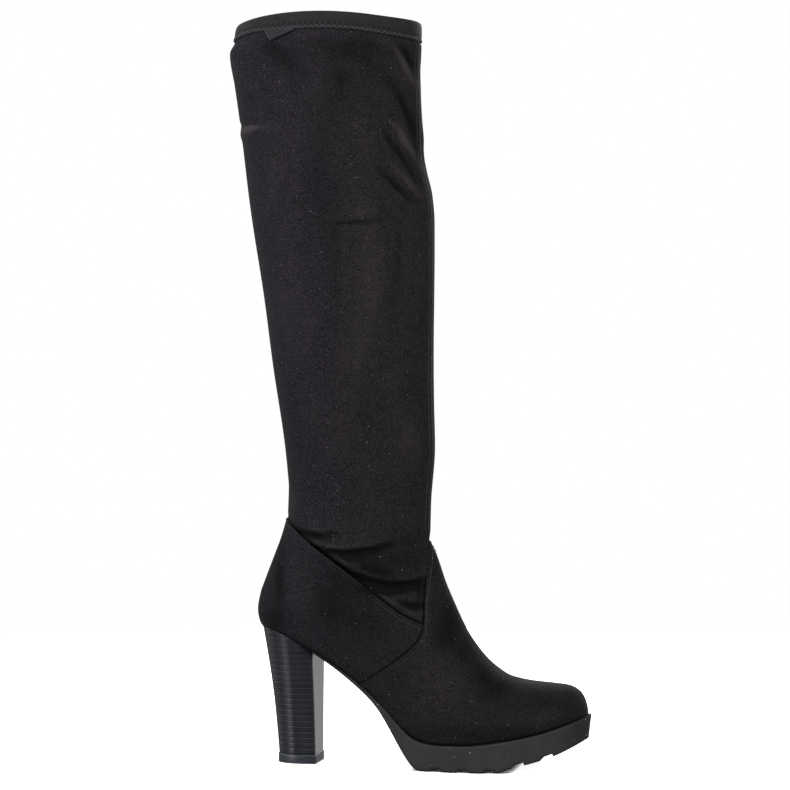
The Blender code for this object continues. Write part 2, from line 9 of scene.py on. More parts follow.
import bpy
import numpy as np
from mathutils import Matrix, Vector


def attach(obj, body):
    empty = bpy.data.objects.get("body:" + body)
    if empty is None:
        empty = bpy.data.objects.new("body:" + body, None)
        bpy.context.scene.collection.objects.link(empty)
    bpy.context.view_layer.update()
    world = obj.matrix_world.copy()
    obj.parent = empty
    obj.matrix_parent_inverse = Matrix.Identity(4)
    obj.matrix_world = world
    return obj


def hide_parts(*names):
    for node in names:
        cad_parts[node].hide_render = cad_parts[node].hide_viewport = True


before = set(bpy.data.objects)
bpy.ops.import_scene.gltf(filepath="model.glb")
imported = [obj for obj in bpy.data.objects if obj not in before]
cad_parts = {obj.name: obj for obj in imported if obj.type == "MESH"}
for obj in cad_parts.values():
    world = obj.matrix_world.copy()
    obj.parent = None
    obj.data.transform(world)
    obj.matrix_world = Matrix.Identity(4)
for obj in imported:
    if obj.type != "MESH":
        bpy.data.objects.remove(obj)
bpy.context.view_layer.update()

# Platform sole
# Moulded charcoal rubber in one piece, from a thin strip under the arch to the raised toe. Its side
# leans in towards a tread cut by wide channels, and it is cemented to the lasted edge of the upper.

MM = 0.001
ORIGIN_X = 108.2              # middle of the boot's whole length, where the frame has its origin
GAP = 0.3                     # left between pieces that touch
CHANNEL_FIRST = 134.0
CHANNEL_PITCH = 18.6
CHANNEL_COUNT = 5
CHANNEL_CENTRES = CHANNEL_FIRST + CHANNEL_PITCH * np.arange(CHANNEL_COUNT)
CHANNEL_LENGTH = 8.4
CHANNEL_DEPTH = 2.0
CHANNEL_DRAFT = 0.7           # run of each channel wall, with its rounded edges
CHANNEL_WALL_STEPS = 6
SOLE_FULL_SIDE = 16.0         # side height at which the insets of the side apply in full
SOLE_MOST_INSET = 0.4         # share of the half-width that they never pass, at the tip
TOE_RAKE = 1.8                # the toe of the tread stands back from the lip
TOE_RAKE_START = 212.0
SOLE_TOE_START = 203.0        # from here the sections close up round the toe
SOLE_STEP = 1.6
SOLE_TOE_STEPS = 40
SOLE_LEAST_STEP = 0.1
SOLE_ACROSS = np.array([0.0, 0.3, 0.6, 0.85])    # shares of the half-width on its top and tread


def table(names, *rows):
    """Columns of a table, by name."""
    return dict(zip(names.split(), np.array(rows, float).T))


HEEL_POINT = (5.4, 95.4)
SEAM_FOOT = (77.7, 57.2)
TOE_POINT = (230.6, 35.0)

# Line where the upper meets the heel seat and the sole
FEATHER = table(
    "x z",
    HEEL_POINT,
    (18.0, 92.6),
    (45.0, 79.2),
    SEAM_FOOT,
    (98.6, 38.8),
    (107.7, 29.8),
    (117.4, 22.3),
    (126.0, 19.6),
    (136.0, 18.6),
    (150.0, 18.6),
    (180.0, 21.9),
    (202.0, 26.0),
    TOE_POINT,
    (238.0, 37.7),
)
SOLE = table(
    "x bottom lateral medial centre",
    (43.9, 78.7, 25.0, 24.5, 0.0),
    (58.0, 69.2, 24.5, 23.0, 0.0),
    (71.7, 58.7, 25.0, 22.5, 0.0),
    (80.7, 51.0, 26.0, 22.8, 0.0),
    (89.6, 42.0, 27.8, 24.0, 0.0),
    (98.6, 28.8, 31.0, 27.5, 0.0),
    (108.7, 12.5, 35.4, 32.5, 0.0),
    (114.0, 5.2, 37.5, 34.8, 0.0),
    (118.0, 1.6, 39.0, 36.5, 0.0),
    (123.0, 0.0, 40.4, 38.2, 0.0),
    (138.0, 0.0, 43.2, 41.4, 0.0),
    (160.0, 0.0, 44.6, 43.6, 0.0),
    (173.0, 0.0, 44.0, 43.8, 0.4),
    (187.0, 3.7, 41.3, 42.1, 1.3),
    (203.0, 7.6, 36.4, 37.9, 3.0),
    (217.0, 12.2, 28.9, 30.3, 5.0),
    (226.0, 15.8, 20.9, 21.8, 6.4),
    (231.8, 18.4, 12.6, 13.0, 7.2),
    (235.2, 20.2, 0.0, 0.0, 7.7),
)
# Side of the sole: how far down it, as a share, and how far in from the lip
SOLE_SIDE = table(
    "down inset",
    (0.00, 1.1),
    (0.008, 0.55),
    (0.03, 0.15),
    (0.06, 0.0),
    (0.10, 0.05),
    (0.28, 0.5),
    (0.50, 0.9),
    (0.72, 1.25),
    (0.90, 1.55),
    (0.95, 1.75),
    (0.985, 2.2),
    (1.00, 2.9),
)


def smooth(known, values, at):
    """Cubic curve through a table's rows that never overshoots them, flat beyond its ends."""
    at = np.clip(at, known[0], known[-1])
    step = np.diff(known)
    slope = np.diff(values) / step
    before, after = slope[:-1], slope[1:]
    tangent = np.concatenate((slope[:1], np.zeros_like(before), slope[-1:]))
    np.divide(2 * before * after, before + after, out=tangent[1:-1], where=before * after > 0)
    i = np.clip(np.searchsorted(known, at, side="right") - 1, 0, len(step) - 1)
    t = (at - known[i]) / step[i]
    start = (2 * t**3 - 3 * t**2 + 1) * values[i] + (t**3 - 2 * t**2 + t) * step[i] * tangent[i]
    end = (3 * t**2 - 2 * t**3) * values[i + 1] + (t**3 - t**2) * step[i] * tangent[i + 1]
    return start + end


def ease(value, low, high):
    """0 below low, 1 above high, with a soft S between."""
    t = np.clip((value - low) / (high - low), 0.0, 1.0)
    return t * t * (3 - 2 * t)


def round_end(rows, column, at):
    """A plan's half-width: smooth in its square, so the ends of the plan are round."""
    return np.sqrt(np.maximum(smooth(rows["x"], rows[column] ** 2, at), 0.0))


def feather_z(x):
    """Height of the sole's top."""
    return smooth(FEATHER["x"], FEATHER["z"], x)


def channel_depth(x):
    """How far the tread is cut away at a place along the sole."""
    away = np.min(np.abs(x - CHANNEL_CENTRES))
    return CHANNEL_DEPTH * ease(CHANNEL_LENGTH / 2 - away, 0.0, CHANNEL_DRAFT)


def sole_stations():
    """Places along the sole: even steps, closer round the toe and down each channel wall."""
    start, tip = SOLE["x"][0], SOLE["x"][-1]
    even = np.arange(start, SOLE_TOE_START, SOLE_STEP)
    turn = np.linspace(0.0, math.pi / 2, SOLE_TOE_STEPS)
    rounded = SOLE_TOE_START + (tip - SOLE_TOE_START) * np.sin(turn)
    side = CHANNEL_LENGTH / 2 - np.linspace(0.0, CHANNEL_DRAFT, CHANNEL_WALL_STEPS)
    sides = np.add.outer(CHANNEL_CENTRES, np.concatenate((side, -side))).ravel()
    stations = np.unique(np.concatenate((even, rounded, sides)))
    return stations[np.diff(stations, prepend=start - SOLE_STEP) > SOLE_LEAST_STEP]


def sole_rings():
    """Sections across the sole: top middle, down the outer side, and up the inner side."""
    sections = []
    for x in sole_stations():
        top = feather_z(x)
        bottom = smooth(SOLE["x"], SOLE["bottom"], x) + channel_depth(x)
        centre = smooth(SOLE["x"], SOLE["centre"], x)
        lateral, medial = round_end(SOLE, "lateral", x), round_end(SOLE, "medial", x)
        inset = SOLE_SIDE["inset"] * min((top - bottom) / SOLE_FULL_SIDE, 1.0)
        inset = np.minimum(inset, SOLE_MOST_INSET * min(lateral, medial))
        down = np.concatenate((np.zeros_like(SOLE_ACROSS), SOLE_SIDE["down"], np.ones_like(SOLE_ACROSS)))
        z = top + (bottom - top) * down
        side_x = x - TOE_RAKE * ease(x, TOE_RAKE_START, SOLE["x"][-1]) * down
        halves = []
        for width in (-lateral, medial):
            side = width - math.copysign(1.0, width) * inset
            y = np.concatenate((side[0] * SOLE_ACROSS, side, side[-1] * SOLE_ACROSS[::-1]))
            halves.append(np.stack((side_x, centre + y, z), axis=-1))
        sections.append(np.concatenate((halves[0], halves[1][-2:0:-1])))
    return np.array(sections)


def grid_quads(index, closed):
    """Quads of a grid of point numbers, joined round where its rows are closed."""
    if closed:
        index = np.column_stack((index, index[:, 0]))
    corners = index[:-1, :-1], index[:-1, 1:], index[1:, 1:], index[1:, :-1]
    return np.stack(corners, axis=-1).reshape(-1, 4)


def loft(rings):
    """Points and faces through closed rings, with end caps that join the halves of the end rings."""
    rows, columns = rings.shape[:2]
    index = np.arange(rows * columns).reshape(rows, columns)
    faces = grid_quads(index, closed=True).tolist()
    half = columns // 2
    for end, turned in ((index[0], True), (index[-1], False)):
        there = end[: half + 1]
        home = np.concatenate((end[:1], end[:half - 1:-1]))
        cap = np.stack((there[:-1], there[1:], home[1:], home[:-1]), axis=-1).tolist()
        faces += [face[::-1] for face in cap] if turned else cap
    return rings.reshape(-1, 3), faces


def add_piece(name, points, faces, finishes, inner_from=None, **values):
    """A smooth-shaded piece in the frame. Faces from inner_from on take the second finish."""
    mesh = bpy.data.meshes.new(name)
    faces = [list(dict.fromkeys(face)) for face in faces]
    mesh.from_pydata(((points - (ORIGIN_X, 0.0, 0.0)) * MM).tolist(), [], faces)
    for finish in finishes:
        mesh.materials.append(finish.material)
    if inner_from is not None:
        index = np.zeros(len(faces), np.int32)
        index[inner_from:] = 1
        mesh.polygons.foreach_set("material_index", index)
    for key, numbers in values.items():
        mesh.attributes.new(key, "FLOAT", "POINT").data.foreach_set("value", np.float32(numbers))
    mesh.validate()
    mesh.shade_smooth()
    piece = bpy.data.objects.new(name, mesh)
    bpy.context.scene.collection.objects.link(piece)
    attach(piece, "root")
    return piece


def tone(red, green, blue):
    """Linear colour from screen values of 0 to 255."""
    shares = np.array([red, green, blue]) / 255
    linear = np.where(shares <= 0.04045, shares / 12.92, ((shares + 0.055) / 1.055) ** 2.4)
    return (*linear.tolist(), 1.0)


class Wire:
    """A socket of a finish. Arithmetic on it adds Math nodes to that finish."""

    def __init__(self, finish, socket):
        self.finish = finish
        self.socket = socket

    def math(self, operation, *others):
        return self.finish.node("Math", {"operation": operation}, dict(enumerate((self, *others))))

    def __add__(self, other):
        return self.math("ADD", other)

    def __sub__(self, other):
        return self.math("SUBTRACT", other)

    def __rsub__(self, other):
        return self.math("MULTIPLY_ADD", -1.0, other)

    def __mul__(self, other):
        return self.math("MULTIPLY", other)

    def __lt__(self, other):
        return self.math("LESS_THAN", other)

    def __gt__(self, other):
        return self.math("GREATER_THAN", other)

    __radd__ = __add__
    __rmul__ = __mul__


class Finish:
    """A material in the making, from nodes and the wires between them."""

    def __init__(self, name, **constants):
        self.material = bpy.data.materials.new(name)
        self.material.use_nodes = True
        self.tree = self.material.node_tree
        self.shader = self.tree.nodes["Principled BSDF"]
        self.show(**constants)
        self.place = self.node("TexCoord", output=3)

    def feed(self, node, inputs):
        for key, value in inputs.items():
            if isinstance(value, Wire):
                self.tree.links.new(value.socket, node.inputs[key])
            else:
                node.inputs[key].default_value = value

    def node(self, kind, settings=None, inputs=None, output=0):
        """A new node: its settings first, then the values or wires of its sockets."""
        made = self.tree.nodes.new("ShaderNode" + kind)
        for key, value in (settings or {}).items():
            setattr(made, key, value)
        self.feed(made, inputs or {})
        return Wire(self, made.outputs[output])

    def show(self, **inputs):
        """Values or wires for the sockets of the surface."""
        self.feed(self.shader, {key.replace("_", " "): value for key, value in inputs.items()})

    def mix(self, share, first, second):
        """One colour into another."""
        return self.node("Mix", {"data_type": "RGBA"}, {0: share, 6: first, 7: second}, output=2)

    def between(self, value, low, high):
        """0 to 1, as a value goes from low to high."""
        settings = {"interpolation_type": "SMOOTHSTEP"}
        return self.node("MapRange", settings, {"Value": value, "From Min": low, "From Max": high})

    def scaled(self, size, stretch=(1.0, 1.0, 1.0)):
        """Places counted in steps of a size, which a stretch makes longer along an axis."""
        steps = [1 / (size * share * MM) for share in stretch]
        return self.node("VectorMath", {"operation": "MULTIPLY"}, {0: self.place, 1: steps})

    def noise(self, size, detail=2.0, stretch=(1.0, 1.0, 1.0)):
        """Cloudy noise about a half, in blobs of a size."""
        inputs = {"Vector": self.scaled(size, stretch), "Scale": 1.0, "Detail": detail}
        return self.node("TexNoise", None, inputs)

    def specks(self, cell, share, radius):
        """Sparse dots: each cell of this size has one dot or none, of up to a radius."""
        inputs = {"Vector": self.scaled(cell), "Scale": 1.0}
        near = self.node("TexVoronoi", None, inputs)
        chance = self.node("SeparateColor", None, {0: self.node("TexVoronoi", None, inputs, output=1)})
        return (near < chance * (radius / cell)) * (chance > 1 - share)

    def bump(self, height, distance):
        """Normal of a relief whose height of 1 stands for a distance."""
        return self.node("Bump", None, {"Height": height, "Strength": 1.0, "Distance": distance * MM})


rubber = Finish("sole_rubber", Specular_IOR_Level=0.2)
cloud = rubber.noise(24.0, detail=3.0)
grain = rubber.noise(0.5, detail=2.0)
dust = rubber.specks(5.0, share=0.8, radius=0.6)
# The sole's top face, where it stands out beyond the upper, is painted near-black: a painted shadow of the
# upper over it.
top_in_painted_shadow = rubber.node("SeparateXYZ", None, {0: rubber.node("NewGeometry", output=1)}, output=2)
shade = rubber.mix(rubber.between(cloud, 0.3, 0.7), tone(29, 29, 32), tone(38, 38, 41))
shade = rubber.mix(rubber.between(grain, 0.35, 0.75) * 0.4, shade, tone(64, 64, 67))
shade = rubber.mix(dust * 0.8, shade, tone(170, 170, 170))
rubber.show(
    Base_Color=rubber.mix(rubber.between(top_in_painted_shadow, 0.2, 0.6), shade, tone(5, 5, 6)),
    Roughness=0.52 + 0.25 * cloud,
    Normal=rubber.bump(grain + 0.8 * rubber.noise(1.7), 0.12),
)
sole = add_piece("sole", *loft(sole_rings()), [rubber])
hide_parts("outsole")

# Stacked heel
# Block heel moulded to look like leather layers, wrapped on its back and sides and plain on its
# breast. Shallow grooves part the layers, under a semi-gloss finish, and it is nailed to the seat.

LIFT_HEIGHT = 6.3
LAYER = 3.9
LAYER_GROOVE = 0.13           # depth of the groove between layers
LAYER_GROOVE_HALF = 0.6       # and its half-width
HEEL_WIDEST = 0.68            # where along its depth the heel is widest
HEEL_SHOULDER = 1.74          # power of its taper from there to the breast
HEEL_CORNER = 1.0             # radius of the corners beside the breast
HEEL_HOLLOW = 0.12            # share by which its sides curve in between top and bottom
HEEL_WRAP = (0.5, 0.9)        # how far a side faces forward where the wrap ends
HEEL_LOW = {"back": 15.4, "breast": 43.9, "half": 15.6, "breast_half": 14.6}
HEEL_HIGH = {"back": 4.0, "breast": 43.0, "half": 25.0, "breast_half": 22.0}
HEEL_TURN_STEPS = 26
HEEL_SIDE_STEPS = 12
HEEL_BREAST_STEPS = 6
HEEL_ROWS = 380


def heel_outline(back, breast, half, breast_half):
    """D-shaped outline: round at the back, widest towards a flat breast with rounded corners."""
    turn = np.linspace(0.0, math.pi / 2, HEEL_TURN_STEPS)
    corner = np.linspace(0.0, math.pi / 2, HEEL_BREAST_STEPS)
    widest = back + (breast - back) * HEEL_WIDEST
    side = np.linspace(widest, breast - HEEL_CORNER, HEEL_SIDE_STEPS)
    taper = ((side - widest) / (breast - widest)) ** HEEL_SHOULDER
    side_half = half - (half - breast_half) * taper
    flat = side_half[-1] - HEEL_CORNER
    x = np.concatenate((
        widest - (widest - back) * np.cos(turn),
        side[1:],
        breast - HEEL_CORNER * (1 - np.sin(corner[1:])),
        np.full(HEEL_BREAST_STEPS, breast),
    ))
    width = np.concatenate((
        half * np.sin(turn),
        side_half[1:],
        flat + HEEL_CORNER * np.cos(corner[1:]),
        np.linspace(flat, 0.0, HEEL_BREAST_STEPS + 1)[1:],
    ))
    lateral, medial = np.stack((x, -width), axis=-1), np.stack((x, width), axis=-1)
    return np.concatenate((lateral, medial[-2:0:-1]))


def plan_normals(plan):
    """Outward unit normals of a closed plan."""
    around = np.roll(plan, -1, axis=0) - np.roll(plan, 1, axis=0)
    out = np.stack((around[:, 1], -around[:, 0]), axis=-1)
    return out / np.linalg.norm(out, axis=-1, keepdims=True)


def heel_rings():
    """Rows of the heel from the lift up to its slanted seat, drawn in at each level groove."""
    low, high = heel_outline(**HEEL_LOW), heel_outline(**HEEL_HIGH)
    out = plan_normals(low)
    wrapped = 1 - ease(out[:, 0], *HEEL_WRAP)
    floor = LIFT_HEIGHT + GAP
    seat = feather_z(high[:, 0]) - GAP
    rings = []
    for level in np.linspace(0.0, 1.0, HEEL_ROWS):
        share = level - HEEL_HOLLOW * math.sin(math.pi * level)
        z = floor + (seat - floor) * level
        from_line = np.abs((z - floor + LAYER / 2) % LAYER - LAYER / 2)
        groove = LAYER_GROOVE * wrapped * (1 - ease(from_line, 0.0, LAYER_GROOVE_HALF))
        plan = low + (high - low) * share - out * groove[:, None]
        rings.append(np.column_stack((plan, z)))
    return np.array(rings)


stack = Finish(
    "heel_stack",
    Specular_IOR_Level=0.42,
    Specular_Tint=tone(235, 235, 255),
    Coat_Roughness=0.2,
    Anisotropic=0.8,
    Anisotropic_Rotation=0.25,
)
height = stack.node("SeparateXYZ", None, {0: stack.place}, output=2)
breast = stack.between(stack.node("SeparateXYZ", None, {0: stack.node("NewGeometry", output=1)}), 0.6, 0.9)
layer_at = (height - (LIFT_HEIGHT + GAP) * MM) * (1 / (LAYER * MM))
from_line = 0.5 - (layer_at.math("FRACT") - 0.5).math("ABSOLUTE")
line = (1 - stack.between(from_line, 0.03, 0.11)) * (1 - breast)
layer_tone = stack.node("TexWhiteNoise", {"noise_dimensions": "1D"}, {"W": layer_at.math("FLOOR")})
fibre = stack.noise(1.1, detail=3.0, stretch=(9.0, 9.0, 0.35))
shade = stack.mix(layer_tone * 0.6 + fibre * 0.4, tone(9, 9, 11), tone(17, 16, 20))
shade = stack.mix(line * 0.42, shade, tone(38, 37, 45))
# The breast is mixed to a pale warm tone: partly its own plain colour, partly a painted reflection of the
# white backdrop.
shade = stack.mix(breast * 0.8, shade, tone(66, 56, 50))
stack.show(
    Base_Color=shade,
    Roughness=(0.38 + 0.1 * fibre) * (1 - 0.65 * breast),
    Coat_Weight=0.06 - 0.04 * line,
    Normal=stack.bump(fibre, 0.02),
)
heel = add_piece("stacked_heel", *loft(heel_rings()), [stack])
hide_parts("heel")

# Top lift
# Hard rubber tread plate of the heel, dark blue-grey and a little larger than the block. It is
# pinned on from below, and its tread edge is bevelled.

LIFT_PROUD = 0.5
LIFT_ROUND = 0.45
LIFT_ROUND_STEPS = 6


def lift_rings():
    """Rows of the lift, with rounded edges above and below."""
    turn = np.linspace(0.0, math.pi / 2, LIFT_ROUND_STEPS)
    low = LIFT_ROUND * (1 - np.cos(turn))
    drawn = LIFT_ROUND * (1 - np.sin(turn))
    z = np.concatenate((low, LIFT_HEIGHT - low[::-1]))
    inset = np.concatenate((drawn, drawn[::-1]))
    plan = heel_outline(**HEEL_LOW)
    out = plan_normals(plan)
    rings = []
    for drawn_by, height in zip(inset, z):
        rings.append(np.column_stack((plan + out * (LIFT_PROUD - drawn_by), np.full(len(plan), height))))
    return np.array(rings)


hard_rubber = Finish("lift_rubber", Specular_IOR_Level=0.4)
rub = hard_rubber.noise(3.0, detail=4.0, stretch=(4.0, 4.0, 0.5))
pits = hard_rubber.noise(0.4)
shade = hard_rubber.mix(hard_rubber.between(rub, 0.3, 0.7), tone(28, 31, 37), tone(43, 47, 54))
hard_rubber.show(
    Base_Color=shade,
    Roughness=0.26 + 0.24 * rub,
    Normal=hard_rubber.bump(rub + 0.4 * pits, 0.06),
)
lift = add_piece("heel_lift", *loft(lift_rings()), [hard_rubber])
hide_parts("top_lift")

# Insole
# Board with a black napped sock glued over it, on the turned-in edge of the upper. It dishes a
# little under the foot, and it shows only from above, down the leg.

MARGIN_WALL = 1.4             # edge of the upper turned in under the foot
INSOLE_GAP = 0.5
INSOLE_WALL = 2.2
INSOLE_INSET = 1.5            # from the ends of the plan
INSOLE_SHARE = 0.885          # of the plan's half-width
INSOLE_DISH = 0.5
INSOLE_STATIONS = 120
INSOLE_SECTION = table(
    "across height",
    (0.00, 1.0),
    (0.35, 1.0),
    (0.70, 1.0),
    (0.95, 1.0),
    (0.99, 0.85),
    (1.00, 0.6),
    (1.00, 0.0),
    (0.60, 0.0),
    (0.00, 0.0),
)
# Plan of the last: half-widths to each side of its centre line
PLAN = table(
    "x lateral medial centre",
    (HEEL_POINT[0], 0.0, 0.0, 0.0),
    (13.0, 16.5, 16.5, 0.0),
    (28.0, 25.0, 25.0, 0.0),
    (43.0, 26.5, 26.0, 0.0),
    (68.0, 25.5, 23.5, 0.0),
    (90.0, 27.5, 24.0, 0.0),
    (113.0, 33.5, 30.5, 0.0),
    (138.0, 39.5, 37.5, 0.0),
    (160.0, 41.0, 40.0, 0.0),
    (183.0, 38.5, 39.0, 1.0),
    (203.0, 32.5, 34.0, 3.0),
    (218.0, 24.5, 26.0, 5.0),
    (227.0, 15.0, 16.0, 6.5),
    (TOE_POINT[0], 0.0, 0.0, 7.0),
)


def insole_rings():
    """Sections across the insole: top middle, over its outer edge, and home by the inner edge."""
    share = (1 - np.cos(np.linspace(0.0, math.pi, INSOLE_STATIONS))) / 2
    start, end = HEEL_POINT[0], TOE_POINT[0]
    across, height = INSOLE_SECTION["across"], INSOLE_SECTION["height"]
    sections = []
    for plan_x in start + (end - start) * share:
        x = np.interp(plan_x, (start, end), (start + INSOLE_INSET, end - INSOLE_INSET))
        centre = smooth(PLAN["x"], PLAN["centre"], x)
        z = feather_z(x) + GAP + MARGIN_WALL + INSOLE_GAP + INSOLE_WALL * height
        z = z - INSOLE_DISH * (1 - across**2) * height
        halves = []
        for side, sign in (("lateral", -1), ("medial", 1)):
            y = centre + sign * INSOLE_SHARE * round_end(PLAN, side, plan_x) * across
            halves.append(np.stack((np.full(len(y), x), y, z), axis=-1))
        sections.append(np.concatenate((halves[0], halves[1][-2:0:-1])))
    return np.array(sections)


sock = Finish("insole_sock", Roughness=0.9, Specular_IOR_Level=0.2, Sheen_Weight=0.15)
pile = sock.noise(0.7, detail=3.0)
sock.show(
    Base_Color=sock.mix(sock.between(pile, 0.3, 0.7), tone(26, 25, 26), tone(44, 42, 43)),
    Normal=sock.bump(pile, 0.15),
)
insole = add_piece("insole_and_sock", *loft(insole_rings()), [sock])
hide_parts("insole")

# Upper
# Vamp and quarter of black microfibre suede, lasted over the insole board and lined with cloth. The
# vamp laps over the quarter, and both over the shaft, each with a rolled edge stitched down.

QUARTER_WALL = 1.4
VAMP_WALL = 2.3
MARGIN_WIDTH = 10.0
TUCK = 0.06                   # the upper draws in by this share where it meets the sole
TUCK_HEIGHT = 14.0
ARCH_RISE = 2.2               # roundness of the foot's cross-section
FOOT_TOP = 26.0               # height above the sole where the foot's section starts to fade
LEG_BOTTOM = 88.0             # and where the leg's oval has taken over
OVAL_BACK = 0.10              # the calf side of the oval is this much fuller
RIDGE_SLOPE = 2.6             # the instep's line carried on upward, behind the throat
HEEL_ROUND = (25.0, 75.0)     # between these the plan stops following the bulge of the heel
LEAST_RIDGE = 1.0             # least height of the ridge that the foot's section is worked out with
LEAST_NORMAL = 1e-9           # and least length of a normal before it is made one long
INSTEP_STEPS = 600
SIDE_POINT = (122.8, 98.5)
BACK_POINT = (22.4, 171.5)
FRONT_POINT = (122.2, 156.0)
THROAT_POINT = (122.6, 153.2)
SIDE_LEVEL = 0.5              # level of the side point, where the quarter ends and the throat starts

# Front line of the vamp from the toe up the instep, by level of the upper
FRONT = table(
    "level x z",
    (0.00, *TOE_POINT),
    (0.06, 229.5, 42.4),
    (0.12, 227.3, 48.3),
    (0.17, 223.5, 52.3),
    (0.21, 218.7, 54.3),
    (0.27, 207.0, 55.8),
    (0.33, 194.3, 57.1),
    (0.40, 178.8, 60.5),
    (0.45, 167.4, 67.7),
    (0.50, 157.9, 77.0),
    (0.60, 146.3, 94.0),
    (0.71, 138.2, 111.0),
    (0.82, 131.1, 127.7),
    (1.00, *FRONT_POINT),
)
# Edge of the vamp: the seam over the quarter, then the throat over the shaft
VAMP_EDGE = table(
    "level x z",
    (0.00, *SEAM_FOOT),
    (0.10, 87.5, 62.8),
    (0.20, 98.3, 69.7),
    (0.30, 107.5, 76.2),
    (0.40, 115.8, 83.6),
    (0.45, 120.6, 90.0),
    (SIDE_LEVEL, *SIDE_POINT),
    (0.58, 122.7, 105.5),
    (0.70, 122.6, 117.0),
    (0.80, 123.0, 128.0),
    (0.91, 123.6, 141.5),
    (1.00, *THROAT_POINT),
)
# Top edge of the quarter from the back seam to the side point
TOP_LINE = table(
    "along x z",
    (0.00, *BACK_POINT),
    (0.16, 37.5, 159.5),
    (0.46, 69.0, 136.0),
    (0.73, 97.0, 113.8),
    (0.87, 111.0, 104.0),
    (1.00, *SIDE_POINT),
)
# Back and front lines of the leg and its half-width, by height
LEG_BACK = table(
    "z x",
    (HEEL_POINT[1], HEEL_POINT[0]),
    (100.0, 2.9),
    (107.0, 1.8),
    (118.0, 3.6),
    (127.0, 6.8),
    (144.0, 13.4),
    (160.0, 19.5),
    (BACK_POINT[1], BACK_POINT[0]),
    (180.0, 22.8),
    (192.0, 23.0),
    (204.0, 21.9),
    (288.0, 10.2),
    (373.0, -2.1),
    (440.0, -11.5),
    (475.0, -15.9),
    (498.0, -19.1),
    (505.5, -15.8),
    (512.0, -14.4),
    (522.0, -12.8),
)
LEG_FRONT = table(
    "z x",
    (FRONT_POINT[1], FRONT_POINT[0]),
    (163.0, 123.2),
    (184.0, 123.6),
    (219.0, 125.9),
    (254.0, 125.3),
    (324.0, 125.3),
    (380.0, 125.7),
    (397.0, 124.3),
    (422.0, 118.6),
    (443.0, 117.2),
    (481.0, 115.8),
    (500.0, 115.8),
    (508.0, 115.3),
    (522.0, 115.3),
)
LEG_WIDTH = table(
    "z half",
    (40.0, 38.0),
    (95.0, 36.0),
    (130.0, 35.0),
    (160.0, 36.0),
    (185.0, 37.0),
    (205.0, 38.5),
    (250.0, 41.5),
    (330.0, 46.0),
    (420.0, 49.0),
    (500.0, 49.0),
    (522.0, 47.5),
)

# Mesh of the upper: rows by level and columns by share, closer along its edges
EDGE_LEVELS = np.array([0.042, 0.034, 0.027, 0.021, 0.016, 0.0115, 0.008, 0.005, 0.003, 0.0012, 0.0])
QUARTER_LEVELS = np.concatenate((np.linspace(0.0, 0.45, 46), SIDE_LEVEL - EDGE_LEVELS))
VAMP_TOP_LEVELS = np.concatenate((np.linspace(SIDE_LEVEL, 0.975, 56)[1:], 1 - EDGE_LEVELS[-6:]))
VAMP_LEVELS = np.concatenate((QUARTER_LEVELS, VAMP_TOP_LEVELS))
HEEL_TURN_SHARE = 0.35        # share of the quarter and of the vamp that goes round an end
TOE_TURN_SHARE = 0.17
QUARTER_COLUMNS = np.concatenate((
    HEEL_TURN_SHARE * (1 - np.cos(np.linspace(0.0, math.pi / 2, 30))),
    np.linspace(HEEL_TURN_SHARE, 0.94, 44)[1:],
    1 - np.array([0.05, 0.04, 0.031, 0.023, 0.016, 0.011, 0.007, 0.004, 0.0018, 0.0]),
))
VAMP_COLUMNS = np.concatenate((
    np.linspace(0.0, 1 - TOE_TURN_SHARE, 50)[1:],
    1 - TOE_TURN_SHARE * (1 - np.sin(np.linspace(0.0, math.pi / 2, 40)[1:])),
))
VAMP_EDGE_STEPS = np.array([0.05, 0.2, 0.45, 0.8, 1.2, 1.6, 2.1, 2.6, 3.0, 3.4, 4.0, 5.0, 6.5])
VAMP_EDGE_MOST = 0.6          # share of a row that these steps never pass
VAMP_RATE_STEP = 0.02

# Rolled edges and the rows stitched along them, as distances from the edge
QUARTER_ROLL = 0.9
VAMP_ROLL = 0.5
QUARTER_ROW = 2.3
SEAM_ROW = 3.0
THROAT_ROW = 2.0
ROW_CHANGE = (0.46, 0.54)     # levels between which the seam's row becomes the throat's
ROW_DEPTH = 0.32              # how far a row of stitches pulls the suede in
ROW_HALF = 0.6
THROAT_THIN = 1.6             # the vamp is skived by this round the throat
THROAT_REACH = 14.0           # over this distance
THROAT_START = (0.46, 0.6)    # from these levels on
EDGE_LIGHT = 0.4              # painted highlight on a rolled edge, where the light catches it
EDGE_LIGHT_WIDTH = 1.0
FOOT_SHADE = 1.0              # and painted shade at the foot of the upper, by the sole, and in the seam
FOOT_SHADE_WIDTH = 2.0
SEAM_SHADE = 0.8
SEAM_DIP = 0.5                # the quarter sinks into the seam
SEAM_DIP_WIDTH = 1.3


def side_curve(rows, key):
    """Curve of a table in the side view, as a function of its first column."""
    def at(t):
        return np.stack((smooth(rows[key], rows["x"], t), smooth(rows[key], rows["z"], t)), axis=-1)
    return at


def feather_curve(start, end):
    """The feather line between two of its points."""
    def at(t):
        x = start[0] + (end[0] - start[0]) * t
        return np.stack((x, feather_z(x)), axis=-1)
    return at


def back_x(z):
    """Back line of the heel and leg at a height."""
    return smooth(LEG_BACK["z"], LEG_BACK["x"], z)


def back_curve(t):
    """Back line of the upper, from the heel seat to its top edge."""
    z = HEEL_POINT[1] + (BACK_POINT[1] - HEEL_POINT[1]) * t
    return np.stack((back_x(z), z), axis=-1)


front_curve = side_curve(FRONT, "level")
vamp_edge = side_curve(VAMP_EDGE, "level")
top_curve = side_curve(TOP_LINE, "along")
INSTEP = front_curve(np.linspace(0.0, 1.0, INSTEP_STEPS))


def front_x(z):
    """Front line of the foot and leg at a height."""
    instep = np.interp(z, INSTEP[:, 1], INSTEP[:, 0])
    return np.where(z > FRONT_POINT[1], smooth(LEG_FRONT["z"], LEG_FRONT["x"], z), instep)


